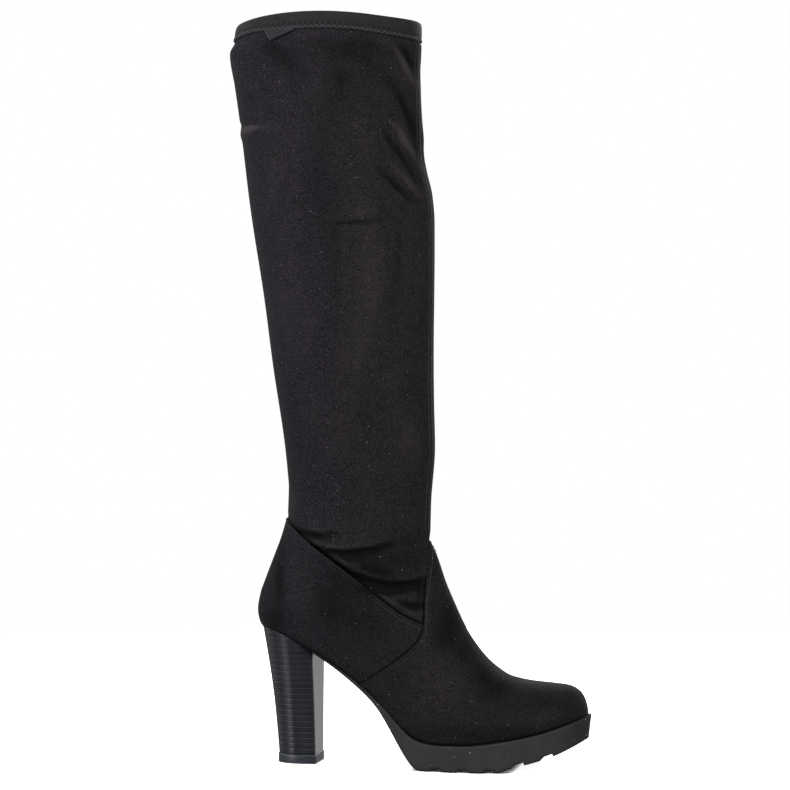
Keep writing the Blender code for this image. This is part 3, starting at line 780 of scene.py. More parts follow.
def ridge_z(x):
    """Height of the instep's ridge over a point of the foot."""
    behind = np.maximum(FRONT_POINT[0] - x, 0.0) * RIDGE_SLOPE
    return np.interp(x, INSTEP[::-1, 0], INSTEP[::-1, 1]) + behind


def half_width(x, z, side):
    """From the centre line to one side of the last, at a point of the side view."""
    height = z - feather_z(x)
    back, front = back_x(z), front_x(z)
    heel_share = 1 - ease(x, *HEEL_ROUND)
    plan = round_end(PLAN, side, x - (back - HEEL_POINT[0]) * heel_share)
    rise = np.clip(height / np.maximum(ridge_z(x) - feather_z(x), LEAST_RIDGE), 0.0, 1.0)
    tuck = 1 - TUCK * np.clip(1 - height / TUCK_HEIGHT, 0.0, 1.0) ** 2
    foot = plan * np.sqrt(1 - rise**ARCH_RISE) * tuck
    along = np.clip((x - back) / (front - back), 0.0, 1.0)
    oval = 2 * np.sqrt(along * (1 - along)) * (1 + OVAL_BACK * (1 - 2 * along))
    leg = smooth(LEG_WIDTH["z"], LEG_WIDTH["half"], z) * oval
    share = ease(height, FOOT_TOP, LEG_BOTTOM)
    return foot * (1 - share) + leg * share


def patch(bottom, top, left, right, u, v):
    """Points of the side view between four edge curves, at shares u across and v up."""
    u, v = np.broadcast_arrays(u, v)
    across, up = u[..., None], v[..., None]
    ends = np.array([0.0, 1.0])
    low, high = bottom(ends), top(ends)
    edges = (1 - up) * bottom(u) + up * top(u) + (1 - across) * left(v) + across * right(v)
    corners_low = (1 - across) * low[0] + across * low[1]
    corners_high = (1 - across) * high[0] + across * high[1]
    return edges - (1 - up) * corners_low - up * corners_high


def seam_curve(t):
    """The part of the vamp's edge that lies over the quarter."""
    return vamp_edge(t * SIDE_LEVEL)


def throat_top(t):
    """Top edge of the vamp across the shin."""
    return (1 - t)[..., None] * THROAT_POINT + t[..., None] * FRONT_POINT


def quarter_points(levels, along):
    """Side view of the quarter, by level and by share from the back line to the seam."""
    feather = feather_curve(HEEL_POINT, SEAM_FOOT)
    return patch(feather, top_curve, back_curve, seam_curve, along, levels / SIDE_LEVEL)


def vamp_points(levels, along):
    """Side view of the vamp, by level and by share from its edge to the front line."""
    feather = feather_curve(SEAM_FOOT, TOE_POINT)
    return patch(feather, throat_top, vamp_edge, front_curve, along, levels)


def both_sides(points):
    """Side-view points lifted to the lateral and the medial side of the last."""
    x, z = points[..., 0], points[..., 1]
    centre = smooth(PLAN["x"], PLAN["centre"], x)
    lateral = np.stack((x, centre - half_width(x, z, "lateral"), z), axis=-1)
    medial = np.stack((x, centre + half_width(x, z, "medial"), z), axis=-1)
    return lateral, medial


def outward(grid, closed=False):
    """Unit normals of a grid whose rows run round the foot."""
    if closed:
        around = np.roll(grid, -1, axis=1) - np.roll(grid, 1, axis=1)
    else:
        around = np.gradient(grid, axis=1)
    normal = np.cross(around, np.gradient(grid, axis=0))
    return normal / np.maximum(np.linalg.norm(normal, axis=-1, keepdims=True), LEAST_NORMAL)


def run_length(grid, axis):
    """Distance along one axis of a grid, from its first point."""
    steps = np.linalg.norm(np.diff(grid, axis=axis), axis=-1)
    first = np.zeros_like(np.take(steps, [0], axis=axis))
    return np.cumsum(np.concatenate((first, steps), axis=axis), axis=axis)


def rolled(away, radius):
    """How far a rolled edge drops, at a distance from it."""
    within = np.clip(radius - away, 0.0, radius)
    return radius - np.sqrt(radius**2 - within**2)


def pulled_in(away, row):
    """How far a row of stitches sinks the suede, at a distance from the edge."""
    return ROW_DEPTH * np.exp(-(((away - row) / ROW_HALF) ** 2))


def stitch_distance(levels):
    """Distance of the vamp's row of stitches from its edge."""
    return SEAM_ROW + (THROAT_ROW - SEAM_ROW) * ease(levels, *ROW_CHANGE)


def vamp_rate(levels):
    """Millimetres to a share of 1 across the vamp, at its edge."""
    near = both_sides(vamp_points(levels[:, None], np.array([[0.0, VAMP_RATE_STEP]])))[0]
    return np.linalg.norm(near[:, 1] - near[:, 0], axis=-1) / VAMP_RATE_STEP


def vamp_shares(levels):
    """Columns of each row of the vamp: set distances along its edge, then even shares."""
    rate = vamp_rate(levels)[:, None]
    most = VAMP_EDGE_MOST / VAMP_EDGE_STEPS[-1]
    edge = VAMP_EDGE_STEPS * np.minimum(1 / rate, most)
    return np.concatenate((edge, edge[:, -1:] + (1 - edge[:, -1:]) * VAMP_COLUMNS), axis=1)


def drawn_in(ring, width):
    """A closed ring moved inward by a width, in plan."""
    out = np.pad(plan_normals(ring[:, :2]), ((0, 0), (0, 1)))
    return ring - width * out


def on_sole(ring, above):
    """A ring laid on the sole's top, at a height above it."""
    return np.column_stack((ring[:, :2], feather_z(ring[:, 0]) + above))


def wall(outer, inner, quads):
    """Solid between two sheets of one layout: points, faces, and the number of its first inner face."""
    count = len(outer)
    starts = quads.ravel()
    ends = np.roll(quads, -1, axis=1).ravel()
    known = set(zip(starts.tolist(), ends.tolist()))
    rim = [(b, a, a + count, b + count) for a, b in sorted(known) if (b, a) not in known]
    faces = quads.tolist() + rim
    return np.concatenate((outer, inner)), faces + (quads[:, ::-1] + count).tolist(), len(faces)


def lifted(sheet, normal, distance):
    """A sheet moved out along its normals, by one distance or by one for each of its points."""
    return sheet + normal * np.broadcast_to(distance, sheet.shape[:2])[..., None]


def edge_lie(sheet, from_edge):
    """Painted highlight near a sheet's rolled edge, and painted shade at its foot by the sole."""
    light = EDGE_LIGHT * np.exp(-((from_edge / EDGE_LIGHT_WIDTH) ** 2))
    return light - FOOT_SHADE * np.exp(-((run_length(sheet, axis=0) / FOOT_SHADE_WIDTH) ** 2))


def upper_solid():
    """Vamp and quarter as one wall, open at the top and underneath, with the light and shade painted along
    its edges.
    """
    levels = QUARTER_LEVELS[:, None]
    side, medial = both_sides(quarter_points(levels, QUARTER_COLUMNS[None, :]))
    quarter = np.concatenate((medial[:, :0:-1], side), axis=1)
    side, medial = both_sides(vamp_points(VAMP_LEVELS[:, None], vamp_shares(VAMP_LEVELS)))
    vamp = np.concatenate((side, medial[:, -2::-1]), axis=1)

    along = run_length(quarter, axis=1)
    from_seam = np.minimum(along, along[:, -1:] - along)
    below_top = run_length(quarter[::-1], axis=0)[::-1]
    quarter_out = GAP + QUARTER_WALL - rolled(below_top, QUARTER_ROLL) - pulled_in(below_top, QUARTER_ROW)
    in_seam = np.exp(-((from_seam / SEAM_DIP_WIDTH) ** 2))
    quarter_out = quarter_out - SEAM_DIP * in_seam
    quarter_lie = edge_lie(quarter, below_top) - SEAM_SHADE * in_seam

    along = run_length(vamp, axis=1)
    from_edge = np.minimum(along, along[:, -1:] - along)
    below_top = run_length(vamp[::-1], axis=0)[::-1]
    below_throat = THROAT_REACH * (1 - ease(VAMP_LEVELS, *THROAT_START))[:, None]
    from_throat = np.minimum(from_edge + below_throat, below_top)
    vamp_out = GAP + VAMP_WALL - THROAT_THIN * (1 - ease(from_throat, 0.0, THROAT_REACH))
    vamp_out = vamp_out - rolled(np.minimum(from_edge, below_top), VAMP_ROLL)
    vamp_out = vamp_out - pulled_in(from_edge, stitch_distance(VAMP_LEVELS)[:, None])
    vamp_lie = edge_lie(vamp, from_throat)

    split = quarter.shape[1]
    quarter_normal, vamp_normal = outward(quarter), outward(vamp)
    edge = drawn_in(np.concatenate((quarter[0], vamp[0])), MARGIN_WIDTH)
    layers = ((GAP, quarter_out, vamp_out), (GAP + MARGIN_WALL, GAP, GAP))
    sheets = []
    for above_sole, quarter_off, vamp_off in layers:
        margin = on_sole(edge, above_sole)
        quarter_layer = lifted(quarter, quarter_normal, quarter_off)
        vamp_layer = lifted(vamp, vamp_normal, vamp_off)
        quarter_layer[0] = on_sole(quarter_layer[0], above_sole)
        vamp_layer[0] = on_sole(vamp_layer[0], above_sole)
        sheets.append(np.concatenate((
            margin[:split], quarter_layer.reshape(-1, 3), margin[split:], vamp_layer.reshape(-1, 3)
        )))
    in_quarter = (len(QUARTER_LEVELS) + 1) * split
    quarter_index = np.arange(in_quarter).reshape(-1, split)
    vamp_index = np.arange(in_quarter, len(sheets[0])).reshape(-1, vamp.shape[1])
    seamed = vamp_index[: len(quarter_index)]
    quads = np.concatenate((
        grid_quads(quarter_index, closed=False),
        grid_quads(vamp_index, closed=False),
        grid_quads(np.column_stack((quarter_index[:, -1], seamed[:, 0])), closed=False),
        grid_quads(np.column_stack((seamed[:, -1], quarter_index[:, 0])), closed=False),
    ))
    margin_lie = np.zeros(len(edge))
    lie = np.concatenate((margin_lie[:split], quarter_lie.ravel(), margin_lie[split:], vamp_lie.ravel()))
    return *wall(*sheets, quads), np.tile(lie, 2)


UPPER_DARK = 0.33             # the upper is painted darker all over than the shaft: painted shade, for the dimmer light on it
NAP_WARMS = (18.2, 118.2)     # between these the suede goes from a cool black to a warm one
# Nap patches and painted light and shade, lighter or darker: the middle of each soft patch, its reach and
# its strength
NAP_AND_LIGHT_PATCHES = table(
    "x z along up strength",
    (0.0, 443.5, 10.0, 1.8, 1.2),
    (18.0, 444.0, 12.0, 4.0, 0.25),
    (22.0, 405.0, 20.0, 46.0, 0.15),
    (1.0, 463.0, 6.0, 6.0, -0.35),
    (29.0, 183.0, 6.0, 10.0, 0.35),
    (34.0, 320.0, 18.0, 60.0, 0.25),
    (54.0, 400.0, 18.0, 52.0, -0.45),
    (24.0, 492.0, 18.0, 12.0, -0.35),
    (76.0, 497.0, 26.0, 9.0, -0.5),
    (30.0, 488.0, 8.0, 7.0, -0.25),
    (38.0, 477.0, 8.0, 9.0, -0.25),
    (52.0, 470.0, 5.0, 16.0, 0.2),
    (68.0, 476.0, 4.0, 7.0, -0.3),
    (64.0, 470.0, 22.0, 28.0, -0.35),
    (34.0, 225.0, 14.0, 34.0, -0.3),
    (90.0, 480.0, 14.0, 22.0, -0.2),
    (88.0, 340.0, 13.0, 56.0, 0.3),
    (80.0, 383.5, 13.0, 4.0, 0.1),
    (114.0, 150.0, 12.0, 20.0, -0.25),
    (105.5, 350.0, 4.0, 34.0, -0.45),
    (66.0, 345.0, 8.0, 40.0, -0.25),
    (84.0, 245.0, 9.0, 22.0, -0.35),
    (113.0, 228.0, 9.0, 24.0, 0.25),
    (78.0, 292.0, 8.0, 30.0, 0.2),
    (117.0, 262.0, 7.0, 14.0, -0.35),
    (34.0, 132.0, 14.0, 22.0, 0.5),
    (92.0, 141.0, 26.0, 14.0, -0.6),
    (58.0, 112.0, 12.0, 20.0, -0.3),
    (84.0, 104.0, 20.0, 16.0, -0.15),
    (21.0, 134.0, 5.0, 22.0, -0.7),
    (19.0, 498.0, 8.0, 6.0, -0.35),
    (16.0, 101.0, 12.0, 8.0, -0.4),
    (139.0, 99.0, 8.0, 18.0, -0.45),
    (152.0, 84.0, 8.0, 14.0, -0.4),
    (164.0, 68.0, 9.0, 11.0, -0.4),
    (178.0, 61.0, 12.0, 5.0, -0.3),
    (136.0, 59.0, 14.0, 15.0, 0.5),
    (200.0, 47.0, 26.0, 9.0, -0.2),
    (173.0, 56.0, 9.0, 9.0, -0.3),
    (206.0, 38.0, 13.0, 6.0, 0.3),
    (165.0, 27.0, 46.0, 5.0, -0.25),
    (93.0, 125.5, 14.0, 5.0, -1.2),
    (114.0, 114.0, 7.0, 6.0, -0.3),
    (113.0, 118.0, 4.0, 3.0, 0.5),
    (215.0, 40.0, 16.0, 8.0, -0.1),
    (124.0, 116.0, 2.5, 28.0, 0.3),
)


def nap_and_light_patches(points):
    """How much lighter or darker the suede is painted at points: its nap's patches and painted light and
    shade.
    """
    total = np.zeros(points.shape[:-1])
    for x, z, along, up, strength in zip(*NAP_AND_LIGHT_PATCHES.values()):
        away = ((points[..., 0] - x) / along) ** 2 + ((points[..., 2] - z) / up) ** 2
        total += strength * np.exp(-away)
    return total


def suede_finish(name):
    """Black suede: fine nap in dark and light strokes, cool behind, warm in front, with stray lint, and
    painted light and shade.
    """
    suede = Finish(
        name,
        Roughness=0.95,
        Specular_IOR_Level=0.08,
        Sheen_Weight=0.05,
        Sheen_Roughness=0.4,
        Sheen_Tint=tone(215, 208, 220),
    )
    nap = suede.noise(0.8, detail=3.0)
    clump = suede.noise(2.6, detail=2.0)
    mottle = suede.noise(7.0, detail=4.0)
    stroke = suede.noise(15.0, detail=3.0, stretch=(1.0, 1.0, 3.2))
    dust = suede.specks(3.6, share=0.12, radius=0.4)
    lint = suede.specks(7.5, share=0.09, radius=0.3)
    lie = suede.node("Attribute", {"attribute_name": "lie"}, output=2) * (0.4 + 1.2 * stroke)
    forward = suede.node("SeparateXYZ", None, {0: suede.place})
    ahead = suede.between(forward, *((x - ORIGIN_X) * MM for x in NAP_WARMS))
    shade = suede.mix(ahead, tone(18, 17, 22), tone(20, 18, 19))
    shade = suede.mix(suede.between(stroke, 0.3, 0.72) * 0.5, shade, tone(30, 27, 30))
    shade = suede.mix(suede.between(clump, 0.4, 0.75) * 0.5, shade, tone(7, 6, 7))
    shade = suede.mix(suede.between(mottle, 0.42, 0.68) * 0.4, shade, tone(9, 8, 9))
    shade = suede.mix(suede.between(nap, 0.42, 0.72) * (0.7 - 0.15 * ahead), shade, tone(54, 50, 55))
    # Painted highlight and painted shade, with the nap's own patches, from the piece's attribute
    shade = suede.mix(suede.between(lie, 0.0, 1.0) * 0.7, shade, tone(58, 54, 58))
    shade = suede.mix(suede.between(lie, 0.0, -1.0) * 0.85, shade, tone(3, 3, 3))
    shade = suede.mix(dust * 0.35, shade, tone(120, 118, 120))
    suede.show(
        Base_Color=suede.mix(lint * 0.6, shade, tone(150, 148, 150)),
        Normal=suede.bump(nap + 0.7 * clump, 0.22),
    )
    return suede


lining = Finish("cloth_lining", Roughness=0.88, Specular_IOR_Level=0.2, Sheen_Weight=0.1)
knit = lining.noise(0.9, detail=1.0, stretch=(1.0, 1.0, 2.2))
lining.show(
    Base_Color=lining.mix(lining.between(knit, 0.3, 0.7), tone(28, 27, 29), tone(52, 50, 53)),
    Normal=lining.bump(knit, 0.18),
)
upper_suede = suede_finish("upper_suede")
points, faces, inner_from, lie = upper_solid()
lie = lie + nap_and_light_patches(points) - UPPER_DARK
upper = add_piece("vamp_and_quarter", points, faces, [upper_suede, lining], inner_from, lie=lie)
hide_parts("upper")

# Shaft
# Stretch suede tube of the leg, pulled on over the calf and sewn inside the upper. It hangs in folds
# over the ankle and bunches under the front of the collar, and a seam runs down beside the shin.

SHAFT_WALL = 1.2
COLLAR_END = 516.4            # height of the top line at the front and the back
COLLAR_ARCH = 5.6             # and its rise at the sides
COLLAR_FRONT = 1.6            # and round the front
COLLAR_FRONT_TURN = (2.2, 3.0)
COLLAR_SMOOTH = (11.5, 22.0)  # between these drops folds fade in below the band
BAND_WALL = 0.9
LAP_LEVEL = 0.45              # how far the shaft goes down inside the quarter
LAP_ALONG = 0.18              # how far forward under the vamp
LAP_FRONT = 0.92              # how far down the front line
LAP_THROAT = 0.96             # and down the throat's top corner
LAP_DRAWN_IN = 1.2
SHAFT_EVEN_TOP = 22.0         # below this drop from the collar its rows are even
# Even rows from the upper's edge up: the share of the way where each run ends, and its number of rows
SHAFT_RUNS = table(
    "end rows",
    (0.15, 63),
    (0.22, 11),
    (0.645, 27),
    (0.715, 26),
    (1.0, 66),
)
SHAFT_DROPS = np.array([
    20.0, 18.0, 16.0, 14.0, 13.0, 12.0, 11.4, 10.8, 10.2, 9.0, 7.0, 4.0, GAP + BAND_WALL,
])
SHAFT_COLUMNS = np.concatenate((
    HEEL_TURN_SHARE * (1 - np.cos(np.linspace(0.0, math.pi / 2, 26))),
    np.linspace(HEEL_TURN_SHARE, 1.0, 46)[1:],
))
THROAT_LEVELS = np.linspace(SIDE_LEVEL, 1.0, 38)[1:]
FRONT_ALONG = np.array([0.25, 0.5, 0.75, 1.0])
TUCK_IN = 0.9                 # the shaft sinks this far behind the edge of the upper
TUCK_IN_WIDTH = 2.0
TUCK_IN_FRONT = 8.0           # but not this near the front
TUCK_IN_BACK = 6.0            # or the back
FRONT_FLUSH = 0.35            # where it stands out by this to meet the edge
SEAM_DARK = 1.8               # painted shade in that seam, along the edge of the upper
SEAM_DARK_WIDTH = 2.5
THROAT_PALE = 0.7             # but less by this share up the throat
THROAT_ABOVE = (114.0, 134.0)
THROAT_AHEAD = (100.0, 115.0)
SWELL = 0.9                   # the tube swells in front under the grip of the band
SWELL_START = (12.2, 13.8)    # drops between which it sets in
SWELL_END = (15.0, 34.0)      # and dies away
SWELL_FRONT = (60.0, 104.0)
FOLD_RISE = 6.0               # this far above the upper's edge, folds reach their full height
MEDIAL_SHIFT = (7.0, 21.0)    # folds lie this much higher on the inner side, at the ankle and up the leg
MEDIAL_SHARE = (0.85, 0.6)    # and have this share of their height
MEDIAL_CHANGE = (260.0, 360.0)
SWAY = 0.35                   # height of the slow waves of the loose tube
WAVE_ROUND = 15.0             # and their lengths for each radian, round the leg and up it
WAVE_LEAN = 60.0
WAVE_UP = 37.0
RIPPLE_UP = 19.0
RIPPLE_ROUND = 33.0
MEDIAL_PHASE = 2.0
SHIN_SEAM = 8.1               # round from the front line to the seam
SHIN_SEAM_HALF = 3.4
SHIN_SEAM_EDGE = 1.2
SHIN_SEAM_RISE = 0.3
SHIN_SEAM_LOW = 160.0
SHIN_SEAM_START = 8.0         # height in which it rises to the full
SHIN_SEAM_HIGH = 505.0
SHIN_SEAM_STEPS = 80
SHIN_STEPS = 200              # steps of a ring from the front line to the side

# Folds on the outer side, each along a line of x and z. A soft fold has a height and a half-width
SOFT_FOLDS = (
    (-2.0, 2.8, ((105, 502), (108.7, 495.3), (111.4, 489.7), (113.5, 483.4), (115, 477))),
    (1.9, 2.6, ((94, 505), (100.6, 498.8), (104, 493.9), (108.8, 484.8), (112.5, 476.4), (117, 467))),
    (-0.6, 4.0, ((83, 491), (90.8, 482.7), (97.7, 475.7), (104, 469))),
    (-2.3, 3.4, ((98, 476), (105.2, 467.3), (109, 457.5), (112.8, 447), (115.2, 438.6), (118, 416))),
    (1.9, 2.3, ((100, 446.5), (104.3, 442.8), (108, 434.4), (112.8, 426), (117.5, 416.9), (120, 411))),
    (-2.2, 2.5, ((93, 445), (97, 439.3), (101.5, 430.9), (107.5, 423.9), (113.1, 414.1), (121, 399))),
    (1.3, 2.0, ((101, 419.5), (103.4, 415.5), (108.1, 409.9), (113.8, 401.5), (122, 390))),
    (-2.4, 2.6, ((91, 417), (95.1, 411.3), (102.1, 405.7), (108.4, 398.7), (115.5, 391.7), (120, 388))),
    (-0.9, 2.0, ((-17, 447.5), (-6, 447), (8, 446.5))),
    (0.9, 3.0, ((-17, 440), (-6, 440), (8, 440.5))),
    (-1.7, 1.4, ((65, 375.4), (71, 375.6), (81, 376), (91.6, 376.6), (99, 377))),
    (0.4, 3.0, ((64, 381.5), (80, 383), (95, 384))),
    (-0.6, 2.0, ((70, 201), (81, 200.5), (91, 201))),
    (0.6, 1.3, ((69, 204.5), (81, 204), (90, 205), (93, 201))),
    (-1.6, 1.6, ((21, 174), (26.2, 171.9), (32.3, 169.1), (39.1, 167), (45, 166))),
    (1.5, 2.0, ((80, 128.5), (88.4, 121.8), (97.2, 117.6), (106.7, 111.3), (113.4, 107.8), (122, 102.5))),
    (-2.6, 2.7, ((105, 114), (110.6, 113.1), (114.4, 111.7), (118.4, 111), (123, 112))),
    (-1.2, 2.4, ((119.3, 131), (119.3, 125.7), (119.5, 120.1), (119.5, 110))),
    (-1.0, 3.0, ((66, 148), (75, 145), (84, 143))),
    (-0.9, 3.0, ((80, 140), (92, 136), (104, 134))),
    (-0.5, 2.5, ((90, 151.5), (100, 153.5), (114, 157))),
)
# A slack fold hangs over a lip: its height, its reach above the lip, and the depth and half-width below
SLACK_FOLDS = (
    (1.8, 6.0, 2.8, 3.4, ((20, 175), (28, 169.5), (34, 166.8), (44, 164.3), (54, 163), (66, 165.5))),
    (2.0, 7.0, 2.1, 3.0, (
        (36, 161), (42.4, 157.9), (48.7, 155.1), (55.3, 153), (69.6, 151.6), (86.6, 153.7), (102, 157.5),
    )),
    (2.7, 9.0, 3.0, 5.4, (
        (45, 157), (56.6, 149), (65.6, 142.6), (76.8, 136),
        (89.1, 131.6), (99.9, 129), (112.8, 129.9), (126, 134),
    )),
)
FOLD_ENDS = 0.6               # a fold dies away towards its ends by this power
LIP_DROP = 1.5                # how fast a slack fold turns under its lip
HOLLOW_BELOW = 0.6            # half-widths from there down to the middle of its hollow
LIP_LIGHT = 0.6               # painted highlight just above a lip, where the light catches the fold
LIP_ABOVE = 1.3
FOLD_LIGHT = 0.4              # and painted highlight on each millimetre of a soft fold's height
HOLLOW_DARK = 0.38            # and painted shade in each millimetre of a hollow's depth
SHIN_FLAT = 5.0               # folds flatten this near the front line, where the tube is pulled tight
SHIN_FLAT_SHARE = 0.7
ANKLE_FLAT = 6.0              # and this near the back line, below these heights
ANKLE_FLAT_TOP = (184.0, 200.0)


def near_line(x, z, line):
    """Distance from a line of the side view, above zero over it, and how full its fold is there."""
    line = np.array(line, float)
    lengths = np.linalg.norm(np.diff(line, axis=0), axis=1)
    starts = np.concatenate(([0.0], np.cumsum(lengths)))
    nearest = np.full(x.shape, np.inf)
    over = np.zeros_like(x)
    share = np.zeros_like(x)
    for i, length in enumerate(lengths):
        step = (line[i + 1] - line[i]) / length
        ahead, above = x - line[i, 0], z - line[i, 1]
        along = np.clip(ahead * step[0] + above * step[1], 0.0, length)
        away = np.hypot(ahead - along * step[0], above - along * step[1])
        closer = away < nearest
        nearest = np.where(closer, away, nearest)
        over = np.where(closer, np.sign(above * step[0] - ahead * step[1]), over)
        share = np.where(closer, (starts[i] + along) / starts[-1], share)
    return nearest * over, (4 * share * (1 - share)) ** FOLD_ENDS


def fold_height(x, z):
    """Height of the folds at places of the side view, and the light and shade painted on them."""
    total, lie = np.zeros_like(x), np.zeros_like(x)
    for height, half, line in SOFT_FOLDS:
        away, full = near_line(x, z, line)
        part = height * full * np.exp(-((away / half) ** 2))
        total += part
        lie += np.where(part > 0, FOLD_LIGHT, HOLLOW_DARK) * part
    for height, reach, depth, half, line in SLACK_FOLDS:
        away, full = near_line(x, z, line)
        lip = full * np.exp(-((away / np.where(away > 0, reach, LIP_DROP)) ** 2))
        hollow = full * np.exp(-(((away + LIP_DROP + HOLLOW_BELOW * half) / half) ** 2))
        lit = full * np.exp(-(((away - LIP_ABOVE) / LIP_DROP) ** 2))
        total += height * lip - depth * hollow
        lie += LIP_LIGHT * lit - HOLLOW_DARK * depth * hollow
    return total, lie


def leg_relief(x, z, medial):
    """How far the tube's folds and slow waves stand out from the leg's form, and the light and shade
    painted on its folds.
    """
    up_leg = ease(z, *MEDIAL_CHANGE)
    shift = MEDIAL_SHIFT[0] + (MEDIAL_SHIFT[1] - MEDIAL_SHIFT[0]) * up_leg
    share = np.where(medial, MEDIAL_SHARE[0] + (MEDIAL_SHARE[1] - MEDIAL_SHARE[0]) * up_leg, 1.0)
    folds, lie = fold_height(x, z - np.where(medial, shift, 0.0))
    phase = np.where(medial, MEDIAL_PHASE, 0.0)
    waves = np.sin(x / WAVE_ROUND + z / WAVE_LEAN + phase) * np.sin(z / WAVE_UP)
    waves = waves + np.sin(z / RIPPLE_UP - x / RIPPLE_ROUND)
    at_shin = SHIN_FLAT_SHARE * np.exp(-(((front_x(z) - x) / SHIN_FLAT) ** 2))
    at_ankle = np.exp(-(((x - back_x(z)) / ANKLE_FLAT) ** 2)) * (1 - ease(z, *ANKLE_FLAT_TOP))
    folds = folds * share * (1 - at_shin) * (1 - at_ankle)
    drop = COLLAR_END - z
    under_band = ease(drop, *SWELL_START) * (1 - ease(drop, *SWELL_END))
    swell = SWELL * under_band * ease(x, *SWELL_FRONT)
    return (folds + SWAY * waves) * ease(drop, *COLLAR_SMOOTH) + swell, lie * share


def collar_z(turn):
    """Height of the top line, by the turn from the back to the front."""
    return COLLAR_END + COLLAR_ARCH * np.sin(turn) ** 2 + COLLAR_FRONT * ease(turn, *COLLAR_FRONT_TURN)


def shaft_shares():
    """Shares of the way from the edge of the upper to the even rows' end, one for each row."""
    shares, start = [], 0.0
    for end, rows in zip(*SHAFT_RUNS.values()):
        shares.append(np.linspace(start, end, int(rows) + 1)[1:])
        start = end
    return np.concatenate(shares)


def shaft_points():
    """Side view of the shaft, from the lap inside the upper to the collar."""
    quarter_edge = quarter_points(np.full(len(SHAFT_COLUMNS), SIDE_LEVEL), SHAFT_COLUMNS)
    front_edge = vamp_points(np.ones(len(FRONT_ALONG)), FRONT_ALONG)
    edge = np.concatenate((quarter_edge, vamp_edge(THROAT_LEVELS), front_edge))
    quarter_lap = quarter_points(np.full(len(SHAFT_COLUMNS) - 1, LAP_LEVEL), SHAFT_COLUMNS[:-1])
    side_levels = np.array([LAP_LEVEL, *THROAT_LEVELS[:-1], LAP_THROAT])
    side_lap = vamp_points(side_levels, np.full(len(side_levels), LAP_ALONG))
    front_lap = vamp_points(np.full(len(FRONT_ALONG), LAP_FRONT), FRONT_ALONG)
    lap = np.concatenate((quarter_lap, side_lap, front_lap))
    x, z = edge[:, 0], edge[:, 1]
    along = (x - back_x(z)) / (front_x(z) - back_x(z))
    turn = np.linspace(0.0, math.pi, len(x))
    collar_along = (1 - np.cos(turn)) / 2
    top = collar_z(turn)
    heights = [z + share * (top - SHAFT_EVEN_TOP - z) for share in shaft_shares()]
    heights += [top - drop for drop in SHAFT_DROPS]
    rows = [lap, edge]
    for height in heights:
        share = (height - z) / (top - z)
        part = along + (collar_along - along) * share
        back = back_x(height)
        rows.append(np.stack((back + part * (front_x(height) - back), height), axis=-1))
    return np.array(rows)


def shin_line(round_by, heights):
    """Points of the leg's form on its outer side, a distance round from the front line."""
    turn = np.linspace(0.0, math.pi / 2, SHIN_STEPS)
    found = []
    for z in heights:
        level = np.full(len(turn), z)
        back, front = back_x(level), front_x(level)
        x = back + (front - back) * (1 + np.cos(turn)) / 2
        line = np.stack((x, -half_width(x, level, "lateral"), level), axis=-1)
        away = np.concatenate(([0.0], np.cumsum(np.linalg.norm(np.diff(line, axis=0), axis=1))))
        found.append([np.interp(round_by, away, line[:, axis]) for axis in range(3)])
    return np.array(found)


def shin_seam_away(points):
    """Distance across from the seam beside the shin, in the plan."""
    heights = np.linspace(SHIN_SEAM_LOW, SHIN_SEAM_HIGH, SHIN_SEAM_STEPS)
    line = shin_line(SHIN_SEAM, heights)
    z = points[..., 2]
    seam_x, seam_y = np.interp(z, heights, line[:, 0]), np.interp(z, heights, line[:, 1])
    return np.hypot(points[..., 0] - seam_x, points[..., 1] - seam_y)


def shaft_solid():
    """The shaft with its folds, open at both ends, and the nap patches and painted light and shade at each
    of its points.
    """
    lateral, medial = both_sides(shaft_points())
    rings = np.concatenate((lateral, medial[:, -2:0:-1]), axis=1)
    normal = outward(rings, closed=True)
    on_medial = np.arange(rings.shape[1]) >= lateral.shape[1]
    relief, lie = leg_relief(rings[..., 0], rings[..., 2], np.broadcast_to(on_medial, rings.shape[:2]))
    lie = lie + nap_and_light_patches(rings)
    in_reach = ease(rings[..., 2], SHIN_SEAM_LOW, SHIN_SEAM_LOW + SHIN_SEAM_START)
    in_seam = 1 - ease(shin_seam_away(rings), SHIN_SEAM_HALF - SHIN_SEAM_EDGE, SHIN_SEAM_HALF)
    relief = relief + SHIN_SEAM_RISE * in_reach * in_seam
    above_edge = run_length(rings[1:], axis=0)
    raised = np.maximum(relief[1:], 0.0) * ease(above_edge, 0.0, FOLD_RISE)
    relief[1:] = np.minimum(relief[1:], 0.0) + raised
    from_front = front_x(rings[..., 2]) - rings[..., 0] + np.abs(rings[..., 1])
    in_throat = ease(rings[1, :, 2], *THROAT_ABOVE) * ease(rings[1, :, 0], *THROAT_AHEAD)
    from_back = rings[..., 0] - back_x(rings[..., 2])
    sunk = ease(from_front, 0.0, TUCK_IN_FRONT) * ease(from_back, 0.0, TUCK_IN_BACK) * (1 - in_throat)
    tucked = (TUCK_IN + FRONT_FLUSH) * sunk - FRONT_FLUSH
    relief[1:] -= tucked[1:] * np.exp(-((above_edge / TUCK_IN_WIDTH) ** 2))
    # Painted shade along the seam under the edge of the upper, less up the throat
    lie[1:] -= SEAM_DARK * (1 - THROAT_PALE * in_throat) * np.exp(-((above_edge / SEAM_DARK_WIDTH) ** 2))
    relief[0] = -LAP_DRAWN_IN
    outer = rings + normal * relief[..., None]
    inner = outer - normal * SHAFT_WALL
    index = np.arange(relief.size).reshape(relief.shape)
    quads = grid_quads(index, closed=True)
    return *wall(outer.reshape(-1, 3), inner.reshape(-1, 3), quads), np.tile(lie.ravel(), 2)


points, faces, inner_from, lie = shaft_solid()
shaft_suede = suede_finish("shaft_suede")
shaft = add_piece("shaft_tube", points, faces, [shaft_suede, lining], inner_from, lie=lie)
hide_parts("shaft")

# Top band
# Knitted elastic binding folded over the top edge of the shaft and held by a zigzag cover stitch.
# It grips the calf, so the suede below it bulges, and the end of the tape hangs out near the back.

